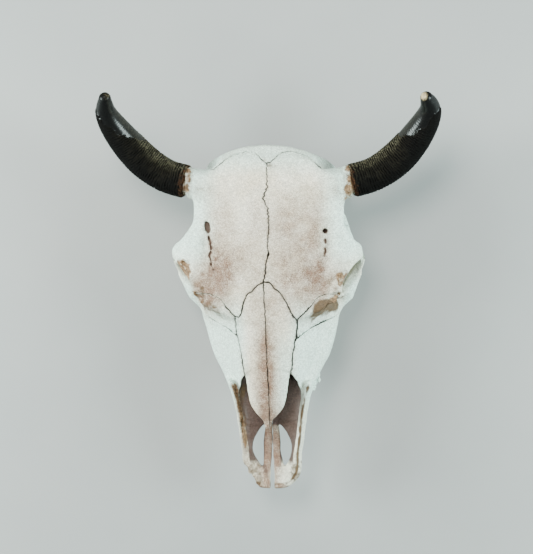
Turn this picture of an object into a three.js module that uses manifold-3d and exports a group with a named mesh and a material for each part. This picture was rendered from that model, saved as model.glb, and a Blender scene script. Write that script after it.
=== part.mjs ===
// A life-size cow bison skull, weathered, without its lower jaw, lying on its cheek teeth and
// the two processes beside its occipital condyles. Millimetres, +Z up, nose towards -Y.
//
// The bone is one smooth field of overlapping rounded forms, walked over with tetrahedra, thinned
// to few triangles, and then parted along its sutures into the bones that a person would name.
// It is shaped in the skull's own frame: the forehead lies level at z = 0 and the origin is on
// the midline between the orbits. The last group turns it to the way that it rests.
import * as THREE from 'three';
import { mergeVertices } from 'three/addons/utils/BufferGeometryUtils.js';
import Module from 'manifold-3d';

const wasm = await Module();
wasm.setup();

// Driving sizes, in millimetres.
const skullLength = 493; // nape crest to the tips of the premaxillae
const orbitSpan = 272; // across the outer rims of the eye sockets
const sutureGap = 0.3; // clearance between neighbouring bones
const cell = 4; // step of the grid that the field is walked on
const boneTriangles = 7600; // what the bone is thinned to before it is parted
const restTilt = 4.5; // degrees that the forehead slopes down to the nose at rest
const restDepth = 174.6; // from the forehead's level down to the resting plane, at the origin

// Landmarks along the midline, measured back from the tip of the nose.
const tipY = -308;
const napeY = tipY + skullLength;
const nasionY = -10;
const nasalTipY = -219;
const palateZ = -100; // underside of the snout ahead of the teeth

// Smooth joins and other small helpers.
const { clamp } = THREE.MathUtils;
const mix = THREE.MathUtils.lerp;
const join = (a, b, k) => {
  const h = Math.max(k - Math.abs(a - b), 0) / k;
  return Math.min(a, b) - (h * h * k) / 4;
};
const overlap = (a, b, k) => -join(-a, -b, k);
const carve = (a, b, k) => overlap(a, -b, k);
const bump = (v, centre, spread) => Math.exp(-(((v - centre) / spread) ** 2));
const ramp = (v, from, to) => THREE.MathUtils.smoothstep(v, from, to);

// Smooth value through [position, value] knots, with no overshoot.
function through(knots) {
  const slopes = knots.map(([, value], i) => {
    if (i === 0 || i === knots.length - 1) return 0;
    const before = (value - knots[i - 1][1]) / (knots[i][0] - knots[i - 1][0]);
    const after = (knots[i + 1][1] - value) / (knots[i + 1][0] - knots[i][0]);
    return before * after <= 0 ? 0 : (2 * before * after) / (before + after);
  });
  return (at) => {
    if (at <= knots[0][0]) return knots[0][1];
    if (at >= knots.at(-1)[0]) return knots.at(-1)[1];
    const i = knots.findIndex(([p]) => p > at) - 1;
    const width = knots[i + 1][0] - knots[i][0];
    const t = (at - knots[i][0]) / width;
    return (
      (1 + 2 * t) * (1 - t) ** 2 * knots[i][1] +
      t * (1 - t) ** 2 * width * slopes[i] +
      t * t * (3 - 2 * t) * knots[i + 1][1] +
      t * t * (t - 1) * width * slopes[i + 1]
    );
  };
}

// Signed distance to a closed outline of [u, v] points, less than zero inside.
function outlineDistance(points, u, v) {
  let nearest = Infinity;
  let inside = false;
  for (let i = 0, j = points.length - 1; i < points.length; j = i++) {
    const [ax, ay] = points[i];
    const [bx, by] = points[j];
    const ex = bx - ax;
    const ey = by - ay;
    const t = clamp(((u - ax) * ex + (v - ay) * ey) / (ex * ex + ey * ey || 1), 0, 1);
    nearest = Math.min(nearest, Math.hypot(u - ax - ex * t, v - ay - ey * t));
    if (ay > v !== by > v && u < ax + (ex * (v - ay)) / ey) inside = !inside;
  }
  return inside ? -nearest : nearest;
}

// A smooth curve through outline points.
const smoothOutline = (points, count) =>
  new THREE.SplineCurve(points.map(([x, y]) => new THREE.Vector2(x, y)))
    .getPoints(count)
    .map((p) => [p.x, p.y]);

// Solid forms, as signed distances.
function ellipsoid(x, y, z, [cx, cy, cz], [rx, ry, rz]) {
  const a = (x - cx) / rx;
  const b = (y - cy) / ry;
  const c = (z - cz) / rz;
  const far = Math.hypot(a, b, c);
  return (far * (far - 1)) / Math.max(Math.hypot(a / rx, b / ry, c / rz), 1e-9);
}

// A round bar through [x, y, z, radius] points.
function bar(x, y, z, points) {
  let best = Infinity;
  for (let i = 1; i < points.length; i++) {
    const [ax, ay, az, ar] = points[i - 1];
    const [bx, by, bz, br] = points[i];
    const ex = bx - ax;
    const ey = by - ay;
    const ez = bz - az;
    const along = ((x - ax) * ex + (y - ay) * ey + (z - az) * ez) / (ex * ex + ey * ey + ez * ez);
    const t = clamp(along, 0, 1);
    const gap = Math.hypot(x - ax - ex * t, y - ay - ey * t, z - az - ez * t) - mix(ar, br, t);
    best = Math.min(best, gap);
  }
  return best;
}

// Forehead: plan outline of the left half, height of its upper face and thickness.
const foreheadPlan = smoothOutline(
  [
    [-30, napeY - 1],
    [0, napeY],
    [26, 183],
    [48, 177],
    [65, 168],
    [74, 157],
    [84, 148],
    [99, 140],
    [107, 118],
    [107, 92],
    [108, 76],
    [119, 59],
    [131, 45],
    [orbitSpan / 2 - 2, 34],
    [130, 22],
    [120, 8],
    [110, -8],
    [106, -24],
    [96, -38],
    [70, -52],
    [30, -58],
    [-30, -60],
  ],
  90,
);
const crownLine = through([
  [-60, -10],
  [nasionY, -4],
  [20, 3],
  [60, 7],
  [100, 6],
  [140, 1],
  [165, -8],
  [napeY, -24],
]);

function foreheadTop(x, y) {
  const fall = 15 * (x / 105) ** 2 + 9 * ramp(x, 108, 136);
  const socketRoof = 5 * bump(x, 108, 17) * bump(y, 30, 30);
  const groove = 5 * bump(x, 86, 7) * bump(y, 46, 26);
  const dish = 4 * bump(x, 60, 22) * bump(y, 105, 26);
  const hornRise = 9 * bump(x, 100, 26) * bump(y, 138, 22);
  return crownLine(y) - fall + socketRoof - groove - dish + hornRise;
}

// This skull grew a little crooked: how far each cross-section sits to its left of the midline.
const sway = through([
  [tipY, -0.6],
  [-100, -0.4],
  [-50, -1.6],
  [-20, -2.8],
  [5, -3.8],
  [30, -3.5],
  [60, -1.5],
  [90, 0.8],
  [120, 1.2],
  [145, -0.5],
  [165, -3],
  [napeY, -3],
]);

// Face: the section of its left half at stations along the nose. Each has y, the top of the
// bridge, then x and z of the nasal shoulder, of the cheek above and below and of the tooth
// margin, and the height of the palate.
const faceStations = [
  [-214, -40, 20, -52, 36, -70, 46, -82, 38, -100, -99],
  [-190, -32, 24, -46, 42, -66, 52, -80, 42, -101, -99],
  [-165, -25, 30, -38, 49, -62, 60, -78, 46, -104, -99],
  [-135, -19, 35, -31, 58, -61, 73, -80, 52, -115, -104],
  [-110, -15, 38, -26, 68, -60, 86, -84, 57, -126, -110],
  [-77, -11, 43, -21, 78, -58, 95, -86, 61, -137, -118],
  [-45, -7, 49, -15, 87, -52, 100, -84, 65, -144, -126],
  [-22, -4, 56, -9, 86, -48, 92, -90, 67, -150, -132],
  [12, 0, 58, -6, 64, -42, 64, -98, 64, -152, -136],
  [34, 3, 52, -4, 56, -42, 50, -92, 44, -140, -132],
  [60, 5, 46, -4, 50, -42, 46, -90, 34, -128, -128],
];
const faceLines = faceStations[0]
  .slice(1)
  .map((_, k) => through(faceStations.map((station) => [station[0], station[k + 1]])));
const [bridgeLine, shoulderX, shoulderZ, cheekX, cheekZ, crestX, crestZ] = faceLines;
const [marginX, marginZ, palateLine] = faceLines.slice(7);
const faceRound = 9;

function faceSection(y) {
  const inset = faceRound * 0.7;
  const [top, bottom] = [bridgeLine(y) - faceRound, palateLine(y) + faceRound];
  return smoothOutline(
    [
      [-30, top],
      [0, top],
      [shoulderX(y) - inset, shoulderZ(y) - inset],
      [cheekX(y) - faceRound, cheekZ(y) - 2],
      [crestX(y) - faceRound, crestZ(y)],
      [marginX(y) - inset, marginZ(y) + inset],
      [marginX(y) - 24, marginZ(y) + inset],
      [12, bottom],
      [-30, bottom],
    ],
    28,
  );
}

// Fall of the nasal bones away from the midline, and the hollow of the nose below them.
const nasalCurve = (x) => 0.0125 * x * x;
const hollowLine = through([
  [-214, 38],
  [-180, 41],
  [-140, 38],
  [-90, 32],
  [-30, 22],
]);
const floorLine = through([
  [-330, palateZ + 9],
  [-200, palateZ + 9],
  [-150, -90],
  [-90, -100],
  [-30, -108],
]);

// Nasal bones: plan outline of the left one. The same outline parts it from its neighbours.
const nasalPlan = [
  [0, nasionY],
  [10, -17],
  [22, -25],
  [31, -41],
  [38, -52],
  [43, -60],
  [42, -78],
  [38, -98],
  [34.5, -124],
  [31, -148],
  [27.5, -168],
  [23.5, -187],
  [15, -197],
  [7, -205],
  [5, -212],
  [2.5, nasalTipY],
  [0, -214],
];
const nasalThickness = 5.5;

// Opening of the nose between the nasal bones and the side walls, in plan.
const nosePlan = smoothOutline(
  [
    [-40, -120],
    [20, -132],
    [33, -139],
    [42, -156],
    [45, -176],
    [42, -200],
    [38, -240],
    [34, -330],
    [-40, -330],
  ],
  40,
);

// Premaxillae: outer plan outline, and the slot through the palate beside each middle bar.
const snoutPlan = smoothOutline(
  [
    [-30, -100],
    [76, -118],
    [62, -150],
    [54, -174],
    [50, -195],
    [47.5, -215],
    [45, -236],
    [41.5, -258],
    [41, -278],
    [37, -292],
    [26, -303],
    [12, tipY],
    [-30, tipY],
  ],
  50,
);
const slotPlan = smoothOutline(
  [
    [9, -212],
    [19, -225],
    [27, -240],
    [28.5, -254],
    [22, -268],
    [14, -277],
    [12.5, -262],
    [12.5, -240],
    [9, -212],
  ],
  40,
);
const snoutRim = through([
  [-300, -92],
  [-282, -87],
  [-262, -81],
  [-236, -71],
  [-209, -62],
  [-180, -54],
  [-150, -46],
]);

// Eye socket.
const socketCentre = [115, 3, -51];
const socketOut = new THREE.Vector3(0.82, -0.49, 0.24).normalize().toArray();
const socketRadius = 32;
const socketDepth = 58;

// Height above the socket's mouth and distance from its axis.
function fromSocket(x, y, z) {
  const [u, v, w] = [x - socketCentre[0], y - socketCentre[1], z - socketCentre[2]];
  const height = u * socketOut[0] + v * socketOut[1] + w * socketOut[2];
  return [height, Math.sqrt(Math.max(u * u + v * v + w * w - height * height, 0))];
}

// Values that hold for a whole column of the grid.
function columnAt(x, y) {
  return {
    top: foreheadTop(x, y),
    plan: outlineDistance(foreheadPlan, x, y),
    nasal: outlineDistance(nasalPlan, x, y),
    nose: outlineDistance(nosePlan, x, y),
    snout: outlineDistance(snoutPlan, x, y),
    slot: outlineDistance(slotPlan, x, y),
    rim: snoutRim(y),
  };
}

function cranium(x, y, z, column) {
  // Braincase, ear region and nape.
  let bone = ellipsoid(x, y, z, [0, 104, -78], [62, 84, 58]);
  const napeHollow = 7 * bump(x, 42, 30) * bump(z, -92, 34);
  const napeFront = 106 - y;
  const napeBack = y - napeLine(z) + napeHollow;
  const nape = overlap(column.nape(z), Math.max(napeFront, napeBack), 14);
  bone = join(bone, nape, 14);
  const napeCrest = bar(x, y, z, [
    [0, 178, -30, 6],
    [30, 175, -31, 6],
    [58, 166, -36, 5.5],
    [76, 152, -52, 5.5],
    [90, 142, -80, 6],
    [98, 134, -108, 9],
    [88, 130, -128, 10],
  ]);
  bone = join(bone, napeCrest, 10);

  // Forehead plate: thick over the braincase, thin where it overhangs.
  const thick = mix(40, 13, ramp(x, 40, 96));
  let plate = overlap(z - column.top, column.plan, 9);
  plate = overlap(plate, column.top - thick - z, 9);
  bone = join(bone, plate, 14);

  // Horn stalk.
  const stalk = bar(x, y, z, [
    [60, 120, -34, 26],
    [96, 132, -28, 22],
    [118, 137, -28, 20.5],
    [130, 139, -28, 19.5],
  ]);
  bone = join(bone, stalk, 13);

  // Face, as a smooth tube round its section.
  const face = outlineDistance(column.section, x, z) - faceRound;
  const faceEnds = overlap(face, Math.max(y - 60, -214 - y), 6);
  bone = join(bone, faceEnds, 12);

  // Cheek: the bar under the socket, the arch behind it and the bar down from the forehead.
  const arch = bar(x, y, z, [
    [80, -50, -88, 12],
    [111, -24, -88, 11],
    [125.5, 6, -88, 9],
    [123, 34, -88, 8],
    [110, 62, -90, 7.5],
    [98, 86, -94, 9],
    [82, 104, -100, 12],
  ]);
  bone = join(bone, arch, 10);
  const brace = bar(x, y, z, [
    [126, 38, -34, 8],
    [127, 36, -60, 6.5],
    [121, 34, -88, 7.5],
  ]);
  bone = join(bone, brace, 9);
  const [socketHeight, socketAround] = fromSocket(x, y, z);
  bone = join(bone, Math.hypot(socketAround - socketRadius, socketHeight) - 6.5, 7);

  // Underside: skull base, ear capsules, jaw joint, wings behind the palate.
  const base = bar(x, y, z, [
    [0, 160, -144, 17],
    [0, 120, -137, 15],
    [0, 76, -119, 13],
    [0, 30, -107, 12],
  ]);
  bone = join(bone, base, 10);
  bone = join(bone, ellipsoid(x, y, z, [40, 116, -146], [13, 19, 15]), 6);
  bone = join(bone, ellipsoid(x, y, z, [76, 92, -112], [25, 15, 9]), 9);
  const wing = overlap(
    Math.abs(x - mix(26, 34, ramp(z, -160, -120))) - 3.2,
    outlineDistance(wingOutline, y, z),
    3,
  );
  bone = join(bone, wing, 8);
  const process = bar(x * 1.25, y, z, [
    [84, 144, -132, 15],
    [77, 149, -160, 12],
    [68, 152, -184, 8],
  ]);
  bone = join(bone, process / 1.12, 12);
  bone = join(bone, ellipsoid(x, y, z, [29, 166, -138], [19, 16, 20]), 7);

  // Openings.
  bone = carve(bone, bar(x, y, z, [[0, 196, -122, 19], [0, 140, -116, 15]]), 5);
  const wide = mix(8, 28, clamp(socketHeight / socketDepth + 1, 0, 1));
  bone = carve(bone, overlap(socketAround - wide, -socketDepth - socketHeight, 8), 5);
  return bone;
}

// Occiput, seen from behind, and its hind face in profile.
const napeOutline = smoothOutline(
  [
    [-30, -24],
    [0, -24],
    [40, -27],
    [69, -42],
    [88.5, -70],
    [97.5, -102],
    [95, -124],
    [80, -142],
    [54, -150],
    [24, -154],
    [-30, -154],
  ],
  36,
);
const napeLine = through([
  [-160, 158],
  [-120, 162],
  [-90, 168],
  [-60, 175],
  [-30, 178],
]);

// Wing of bone behind the palate, in side view.
const wingOutline = [
  [18, -118],
  [30, -150],
  [46, -164],
  [62, -160],
  [72, -140],
  [84, -120],
];

function skullField(x, y, z, column) {
  let bone = cranium(x, y, z, column);

  // Throat behind the palate, under the skull base.
  const throat = bar(x, y, z, [
    [0, -30, -107, 10],
    [0, 20, -124, 14],
    [0, 48, -140, 17],
    [0, 80, -160, 19],
  ]);
  bone = carve(bone, throat, 6);

  // Hollow of the nose, open at the front.
  const arch = z - (column.bridge - nasalCurve(x) - 0.5);
  const roof = arch + nasalThickness;
  const cavity = overlap(overlap(x - column.hollow, roof, 10), column.floor - z, 10);
  bone = carve(bone, overlap(cavity, y + 30, 16), 3);

  // The notch between the nasal bones and the side walls, and all above the snout.
  const notch = overlap(column.nose, column.floor - z, 6);
  bone = carve(bone, notch, 2);

  // Snout: side walls that fall to the tip, and the palate plate with its slots.
  const wall = overlap(
    overlap(column.snout, -column.snout - 9, 3),
    overlap(z - column.rim, palateZ - z, 3),
    4,
  );
  const plate = overlap(column.snout, Math.abs(z - palateZ - 5) - 5, 4);
  let snout = join(wall, plate, 9);
  snout = overlap(snout, y + 146, 10);
  snout = carve(snout, column.slot, 3);
  snout = carve(snout, overlap(Math.abs(x) - 1.8, y + 226, 1), 1);
  bone = join(bone, snout, 6);

  // Nasal bones: a thin arched roof, free at its front end.
  let nasal = overlap(Math.abs(arch + nasalThickness / 2) - nasalThickness / 2, column.nasal, 4);
  nasal = overlap(nasal, y + 60, 4);
  bone = join(bone, nasal, 2.5);
  return bone;
}

// Walks the field over a grid of tetrahedra and gives a closed mesh of its zero surface. Both
// halves share the values of one, and each cross-section is then moved by its sway.
function meshField(low, high) {
  const count = low.map((v, i) => Math.ceil((high[i] - v) / cell) + 1);
  const [nx, ny, nz] = count;
  const values = new Float32Array(nx * ny * nz);
  const napeValues = new Map();
  const index = (i, j, k) => (i * ny + j) * nz + k;
  for (let j = 0; j < ny; j++) {
    const y = low[1] + j * cell;
    const shared = {
      section: faceSection(y),
      hollow: hollowLine(y),
      floor: floorLine(y),
      bridge: bridgeLine(y),
    };
    for (let i = 0; i < nx / 2; i++) {
      const x = Math.abs(low[0] + i * cell);
      const column = { ...columnAt(x, y), ...shared };
      column.nape = (z) => {
        const key = x * 1000 + z;
        if (!napeValues.has(key)) napeValues.set(key, outlineDistance(napeOutline, x, z));
        return napeValues.get(key);
      };
      for (let k = 0; k < nz; k++) {
        const v = skullField(x, y, low[2] + k * cell, column);
        values[index(i, j, k)] = Math.abs(v) < 1e-3 ? 1e-3 : v;
        values[index(nx - 1 - i, j, k)] = values[index(i, j, k)];
      }
    }
  }
  const corners = [0, 1, 2, 3, 4, 5, 6, 7].map((c) => [c & 1, (c >> 1) & 1, (c >> 2) & 1]);
  const tetrahedra = [
    [0, 1, 3, 7],
    [0, 3, 2, 7],
    [0, 2, 6, 7],
    [0, 6, 4, 7],
    [0, 4, 5, 7],
    [0, 5, 1, 7],
  ];
  const positions = [];
  const faces = [];
  const made = new Map();
  const cornerIds = new Array(8);
  const place = (id) => {
    const k = id % nz;
    const j = Math.floor(id / nz) % ny;
    const i = Math.floor(id / (nz * ny));
    const y = low[1] + j * cell;
    return [low[0] + i * cell + sway(y), y, low[2] + k * cell];
  };
  const crossing = (a, b) => {
    const key = a < b ? a * values.length + b : b * values.length + a;
    if (!made.has(key)) {
      const t = clamp(values[a] / (values[a] - values[b]), 0.04, 0.96);
      const pa = place(a);
      const pb = place(b);
      made.set(key, positions.length / 3);
      positions.push(...pa.map((v, n) => mix(v, pb[n], t)));
    }
    return made.get(key);
  };
  for (let i = 0; i + 1 < nx; i++)
    for (let j = 0; j + 1 < ny; j++)
      for (let k = 0; k + 1 < nz; k++) {
        let solid = 0;
        corners.forEach(([a, b, c], n) => {
          cornerIds[n] = index(i + a, j + b, k + c);
          if (values[cornerIds[n]] < 0) solid++;
        });
        if (solid === 0 || solid === 8) continue;
        for (const tetrahedron of tetrahedra) {
          const ids = tetrahedron.map((n) => cornerIds[n]);
          const inner = ids.filter((id) => values[id] < 0);
          const outer = ids.filter((id) => values[id] >= 0);
          if (!inner.length || !outer.length) continue;
          const [p, q] = [place(inner[0]), place(outer[0])];
          const add = (a, b, c) => {
            const [u, v, w] = [a, b, c].map((n) => positions.slice(3 * n, 3 * n + 3));
            const normal = new THREE.Vector3(v[0] - u[0], v[1] - u[1], v[2] - u[2]).cross(
              new THREE.Vector3(w[0] - u[0], w[1] - u[1], w[2] - u[2]),
            );
            const out = new THREE.Vector3(q[0] - p[0], q[1] - p[1], q[2] - p[2]);
            faces.push(...(normal.dot(out) > 0 ? [a, b, c] : [a, c, b]));
          };
          if (inner.length === 2) {
            const [a, b] = inner;
            const [c, d] = outer;
            const ring = [crossing(a, c), crossing(a, d), crossing(b, d), crossing(b, c)];
            add(ring[0], ring[1], ring[2]);
            add(ring[0], ring[2], ring[3]);
          } else {
            const lone = inner.length === 1 ? inner[0] : outer[0];
            const rest = inner.length === 1 ? outer : inner;
            add(...rest.map((id) => crossing(lone, id)));
          }
        }
      }
  return { positions: new Float64Array(positions), faces: new Int32Array(faces) };
}

// Thins a closed mesh to about `target` triangles, joining the ends of its least needed edges.
function thin({ positions, faces }, target) {
  const count = positions.length / 3;
  const around = Array.from({ length: count }, () => new Set());
  const quadrics = new Float64Array(count * 10);
  const pick = (v, out) => out.fromArray(positions, 3 * v);
  const [a, b, c, normal, edge, spot] = Array.from({ length: 6 }, () => new THREE.Vector3());
  const faceNormal = (p, q, r, out) => out.subVectors(q, p).cross(edge.subVectors(r, p));
  for (let f = 0; f < faces.length; f += 3) {
    faceNormal(pick(faces[f], a), pick(faces[f + 1], b), pick(faces[f + 2], c), normal);
    const area = normal.length() || 1;
    normal.divideScalar(area);
    const plane = [normal.x, normal.y, normal.z, -normal.dot(a)];
    for (let k = 0; k < 3; k++) {
      const v = faces[f + k];
      around[v].add(f);
      let slot = 10 * v;
      for (let i = 0; i < 4; i++) for (let j = i; j < 4; j++) quadrics[slot++] += area * plane[i] * plane[j];
    }
  }
  const neighbours = (v) => {
    const found = new Set();
    for (const f of around[v]) for (let k = 0; k < 3; k++) found.add(faces[f + k]);
    found.delete(v);
    return found;
  };
  const solve = new THREE.Matrix3();
  const bestSpot = (v, w) => {
    const q = Array.from({ length: 10 }, (_, i) => quadrics[10 * v + i] + quadrics[10 * w + i]);
    solve.set(q[0], q[1], q[2], q[1], q[4], q[5], q[2], q[5], q[7]);
    pick(v, a);
    pick(w, b);
    const length = a.distanceTo(b);
    spot.addVectors(a, b).multiplyScalar(0.5);
    if (Math.abs(solve.determinant()) > 1e-3 * (q[0] + q[4] + q[7]) ** 3) {
      c.set(-q[3], -q[6], -q[8]).applyMatrix3(solve.invert());
      if (c.distanceTo(spot) < length) spot.copy(c);
    }
    const { x, y, z } = spot;
    const error =
      q[0] * x * x + q[4] * y * y + q[7] * z * z + q[9] +
      2 * (q[1] * x * y + q[2] * x * z + q[5] * y * z + q[3] * x + q[6] * y + q[8] * z);
    return [error + 1e-4 * length, v, w, x, y, z];
  };
  const turned = new THREE.Vector3();
  const keepsShape = (v, w) => {
    for (const f of around[v]) {
      const corners = [faces[f], faces[f + 1], faces[f + 2]];
      if (corners.includes(w)) continue;
      const points = corners.map((n) => new THREE.Vector3().fromArray(positions, 3 * n));
      faceNormal(...points, normal);
      points[corners.indexOf(v)].copy(spot);
      faceNormal(...points, turned);
      if (normal.dot(turned) < 0.35 * normal.length() * turned.length()) return false;
    }
    return true;
  };
  let alive = faces.length / 3;
  while (alive > target) {
    const edges = [];
    for (let v = 0; v < count; v++)
      if (around[v].size) for (const w of neighbours(v)) if (v < w) edges.push(bestSpot(v, w));
    edges.sort((p, q) => p[0] - q[0]);
    const held = new Uint8Array(count);
    let left = Math.min(Math.ceil((alive - target) / 2), Math.ceil(edges.length * 0.1));
    const before = alive;
    for (const [, v, w, x, y, z] of edges) {
      if (left <= 0) break;
      if (held[v] || held[w]) continue;
      const near = neighbours(v);
      if ([...neighbours(w)].filter((n) => near.has(n)).length !== 2) continue;
      spot.set(x, y, z);
      if (!keepsShape(v, w) || !keepsShape(w, v)) continue;
      for (const f of [...around[w]]) {
        const corners = [faces[f], faces[f + 1], faces[f + 2]];
        if (corners.includes(v)) {
          corners.forEach((n) => around[n].delete(f));
          alive--;
        } else {
          faces[f + corners.indexOf(w)] = v;
          around[v].add(f);
        }
      }
      around[w].clear();
      spot.toArray(positions, 3 * v);
      for (let i = 0; i < 10; i++) quadrics[10 * v + i] += quadrics[10 * w + i];
      held[v] = 1;
      for (const n of neighbours(v)) held[n] = 1;
      left--;
    }
    if (alive === before) break;
  }
  const kept = new Set(around.flatMap((set) => [...set]));
  return { positions, faces: Int32Array.from([...kept].flatMap((f) => [...faces.slice(f, f + 3)])) };
}

// Solids that can be joined and cut.
function solidOf(geometry) {
  const bare = geometry.clone();
  bare.deleteAttribute('normal');
  bare.deleteAttribute('uv');
  const merged = mergeVertices(bare, 1e-3);
  return new wasm.Manifold(
    new wasm.Mesh({
      numProp: 3,
      vertProperties: new Float32Array(merged.attributes.position.array),
      triVerts: new Uint32Array(merged.index.array),
    }),
  );
}

function geometryOf(positions, faces) {
  const geometry = new THREE.BufferGeometry();
  geometry.setAttribute('position', new THREE.BufferAttribute(new Float32Array(positions), 3));
  geometry.setIndex(Array.from(faces));
  return geometry;
}

const largestBody = (solid) => solid.decompose().sort((p, q) => q.volume() - p.volume())[0];

// Moves every side of a closed outline outwards by `grow`.
function offsetOutline(points, grow) {
  const shape = points.map(([x, y]) => new THREE.Vector2(x, y));
  if (THREE.ShapeUtils.isClockWise(shape)) shape.reverse();
  return shape.map((p, i) => {
    const before = p.clone().sub(shape.at(i - 1)).normalize();
    const after = shape[(i + 1) % shape.length].clone().sub(p).normalize();
    const out = new THREE.Vector2(before.y + after.y, -before.x - after.x);
    return out.multiplyScalar(grow / Math.max(1 + before.dot(after), 0.3)).add(p);
  });
}

// Outline in [x, y] carried along z.
function planPrism(points, low, high, grow) {
  const depth = high - low + 2 * grow;
  const shape = new THREE.Shape(offsetOutline(points, grow));
  return new THREE.ExtrudeGeometry(shape, { depth, bevelEnabled: false }).translate(0, 0, low - grow);
}

// Outline in [y, z] carried along x.
function sidePrism(points, low, high, grow) {
  const depth = high - low + 2 * grow;
  const shape = new THREE.Shape(offsetOutline(points, grow));
  const prism = new THREE.ExtrudeGeometry(shape, { depth, bevelEnabled: false });
  const turn = new THREE.Matrix4().makeBasis(
    new THREE.Vector3(0, 1, 0),
    new THREE.Vector3(0, 0, 1),
    new THREE.Vector3(1, 0, 0),
  );
  return prism.applyMatrix4(turn).translate(low - grow, 0, 0);
}

// The same shape on the other side of the midline.
function mirrored(geometry) {
  const other = geometry.index ? geometry.toNonIndexed() : geometry.clone();
  other.scale(-1, 1, 1);
  const p = other.attributes.position.array;
  for (let i = 0; i < p.length; i += 9)
    for (let k = 0; k < 3; k++) [p[i + 3 + k], p[i + 6 + k]] = [p[i + 6 + k], p[i + 3 + k]];
  return other;
}

// Closed tube through rings of equally many points, with flat ends.
function loft(rings) {
  const size = rings[0].length;
  const last = (rings.length - 1) * size;
  const faces = [];
  for (let i = 0; i + 1 < rings.length; i++)
    for (let k = 0; k < size; k++) {
      const [p, q] = [i * size + k, i * size + ((k + 1) % size)];
      faces.push(p, p + size, q, q, p + size, q + size);
    }
  for (let k = 1; k + 1 < size; k++) faces.push(0, k, k + 1, last, last + k + 1, last + k);
  return geometryOf(rings.flat(2), faces);
}

// Everything above the underside of one nasal bone, within its plan.
const nasalHalf = through(
  [[2, nasionY], ...nasalPlan.slice(1, -1)].map(([x, y]) => [y, x]).reverse(),
);
function nasalCutter(grow) {
  const rings = [];
  for (let y = nasionY; y >= nasalTipY - 12; y -= 10) {
    const inner = -grow;
    const outer = Math.max(nasalHalf(y), 2) + grow;
    const under = (x) => bridgeLine(y) - nasalCurve(x) - 2.5 - nasalThickness - grow;
    const ring = [[inner, y, 30], [outer, y, 30]];
    for (let k = 2; k >= 0; k--) {
      const x = mix(inner, outer, k / 2);
      ring.push([x, y, under(x)]);
    }
    rings.push(ring);
  }
  rings[0] = rings[0].map(([x, y, z]) => [x, y + grow, z]);
  return loft(rings);
}

// Sutures: what each bone of the right-hand side takes out of the whole.
const snoutSide = [
  [-340, -10],
  [-160, -10],
  [-158, -48],
  [-172, -60],
  [-200, -80],
  [-214, -94],
  [-218, -140],
  [-340, -140],
];
const maxillaPlan = [
  [0, -340],
  [150, -340],
  [150, -50],
  [104, -50],
  [93, -55],
  [78, -63],
  [61, -71],
  [50, -78],
  [41, -86],
  [36, -92],
  [0, -92],
];
const maxillaSide = [
  [-104, -260],
  [19, -260],
  [21, -140],
  [14, -112],
  [-20, -103],
  [-56, -98],
  [-104, -98],
];
const cheekSide = [
  [-60, -88],
  [-46, -72],
  [-28, -66],
  [20, -66],
  [30, -62],
  [52, -64],
  [58, -80],
  [78, -78],
  [70, -112],
  [0, -114],
  [-40, -110],
];
const lacrimalPlan = [
  [41, -86],
  [50, -78],
  [61, -71],
  [78, -63],
  [93, -55],
  [104, -50],
  [130, -40],
  [124, -22],
  [100, -22],
  [82, -24],
  [67, -30],
  [60, -42],
  [50, -52],
  [43, -62],
];

const boneCutters = {
  nasal: (grow, turn) => solidOf(turn(nasalCutter(grow))),
  premaxilla: (grow, turn) => solidOf(turn(sidePrism(snoutSide, 0, 90, grow))),
  zygomatic: (grow, turn) => solidOf(turn(sidePrism(cheekSide, 86, 170, grow))),
  lacrimal: (grow, turn) => solidOf(turn(planPrism(lacrimalPlan, -70, 30, grow))),
  maxilla: (grow, turn) =>
    solidOf(turn(planPrism(maxillaPlan, -260, 30, grow))).add(
      solidOf(turn(sidePrism(maxillaSide, 0, 86, grow))),
    ),
};

// Horns: bone core and hollow sheath, both turned profiles bent along one curve a side.
// Each has its own tip, and `reach` is how far its sheath stands from the midline.
const hornPath = [
  [96, 130, -25],
  [118, 136, -27],
  [150, 146, -30],
  [182, 167, -22],
  [209, 197, -2],
  [226, 228, 30],
];
const pathReach = 241.5; // outside of a sheath on this path
const horns = {
  left: { tip: [218, 246, 62], reach: 241.5 },
  right: { tip: [222, 251, 62], reach: 237.5 },
};
for (const horn of Object.values(horns)) {
  horn.curve = new THREE.CatmullRomCurve3([...hornPath, horn.tip].map((p) => new THREE.Vector3(...p)));
  horn.length = horn.curve.getLength();
}
const hornPlane = new THREE.Vector3(0.3, -0.84, 0.53).normalize();
const sheathStart = 21; // along the curve
const sheathRadius = (end) =>
  through([
    [0, 22],
    [4, 24.5],
    [30, 24.5],
    [70, 25],
    [112, 23.2],
    [142, 20],
    [168, 15.8],
    [188, 12],
    [end - 8, 9.5],
    [end - 3, 6.8],
    [end, 3],
  ]);
const coreLength = 78;
const coreRadius = through([
  [-16, 15],
  [0, 17],
  [40, 14],
  [coreLength - 8, 9],
  [coreLength, 5],
]);

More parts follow.
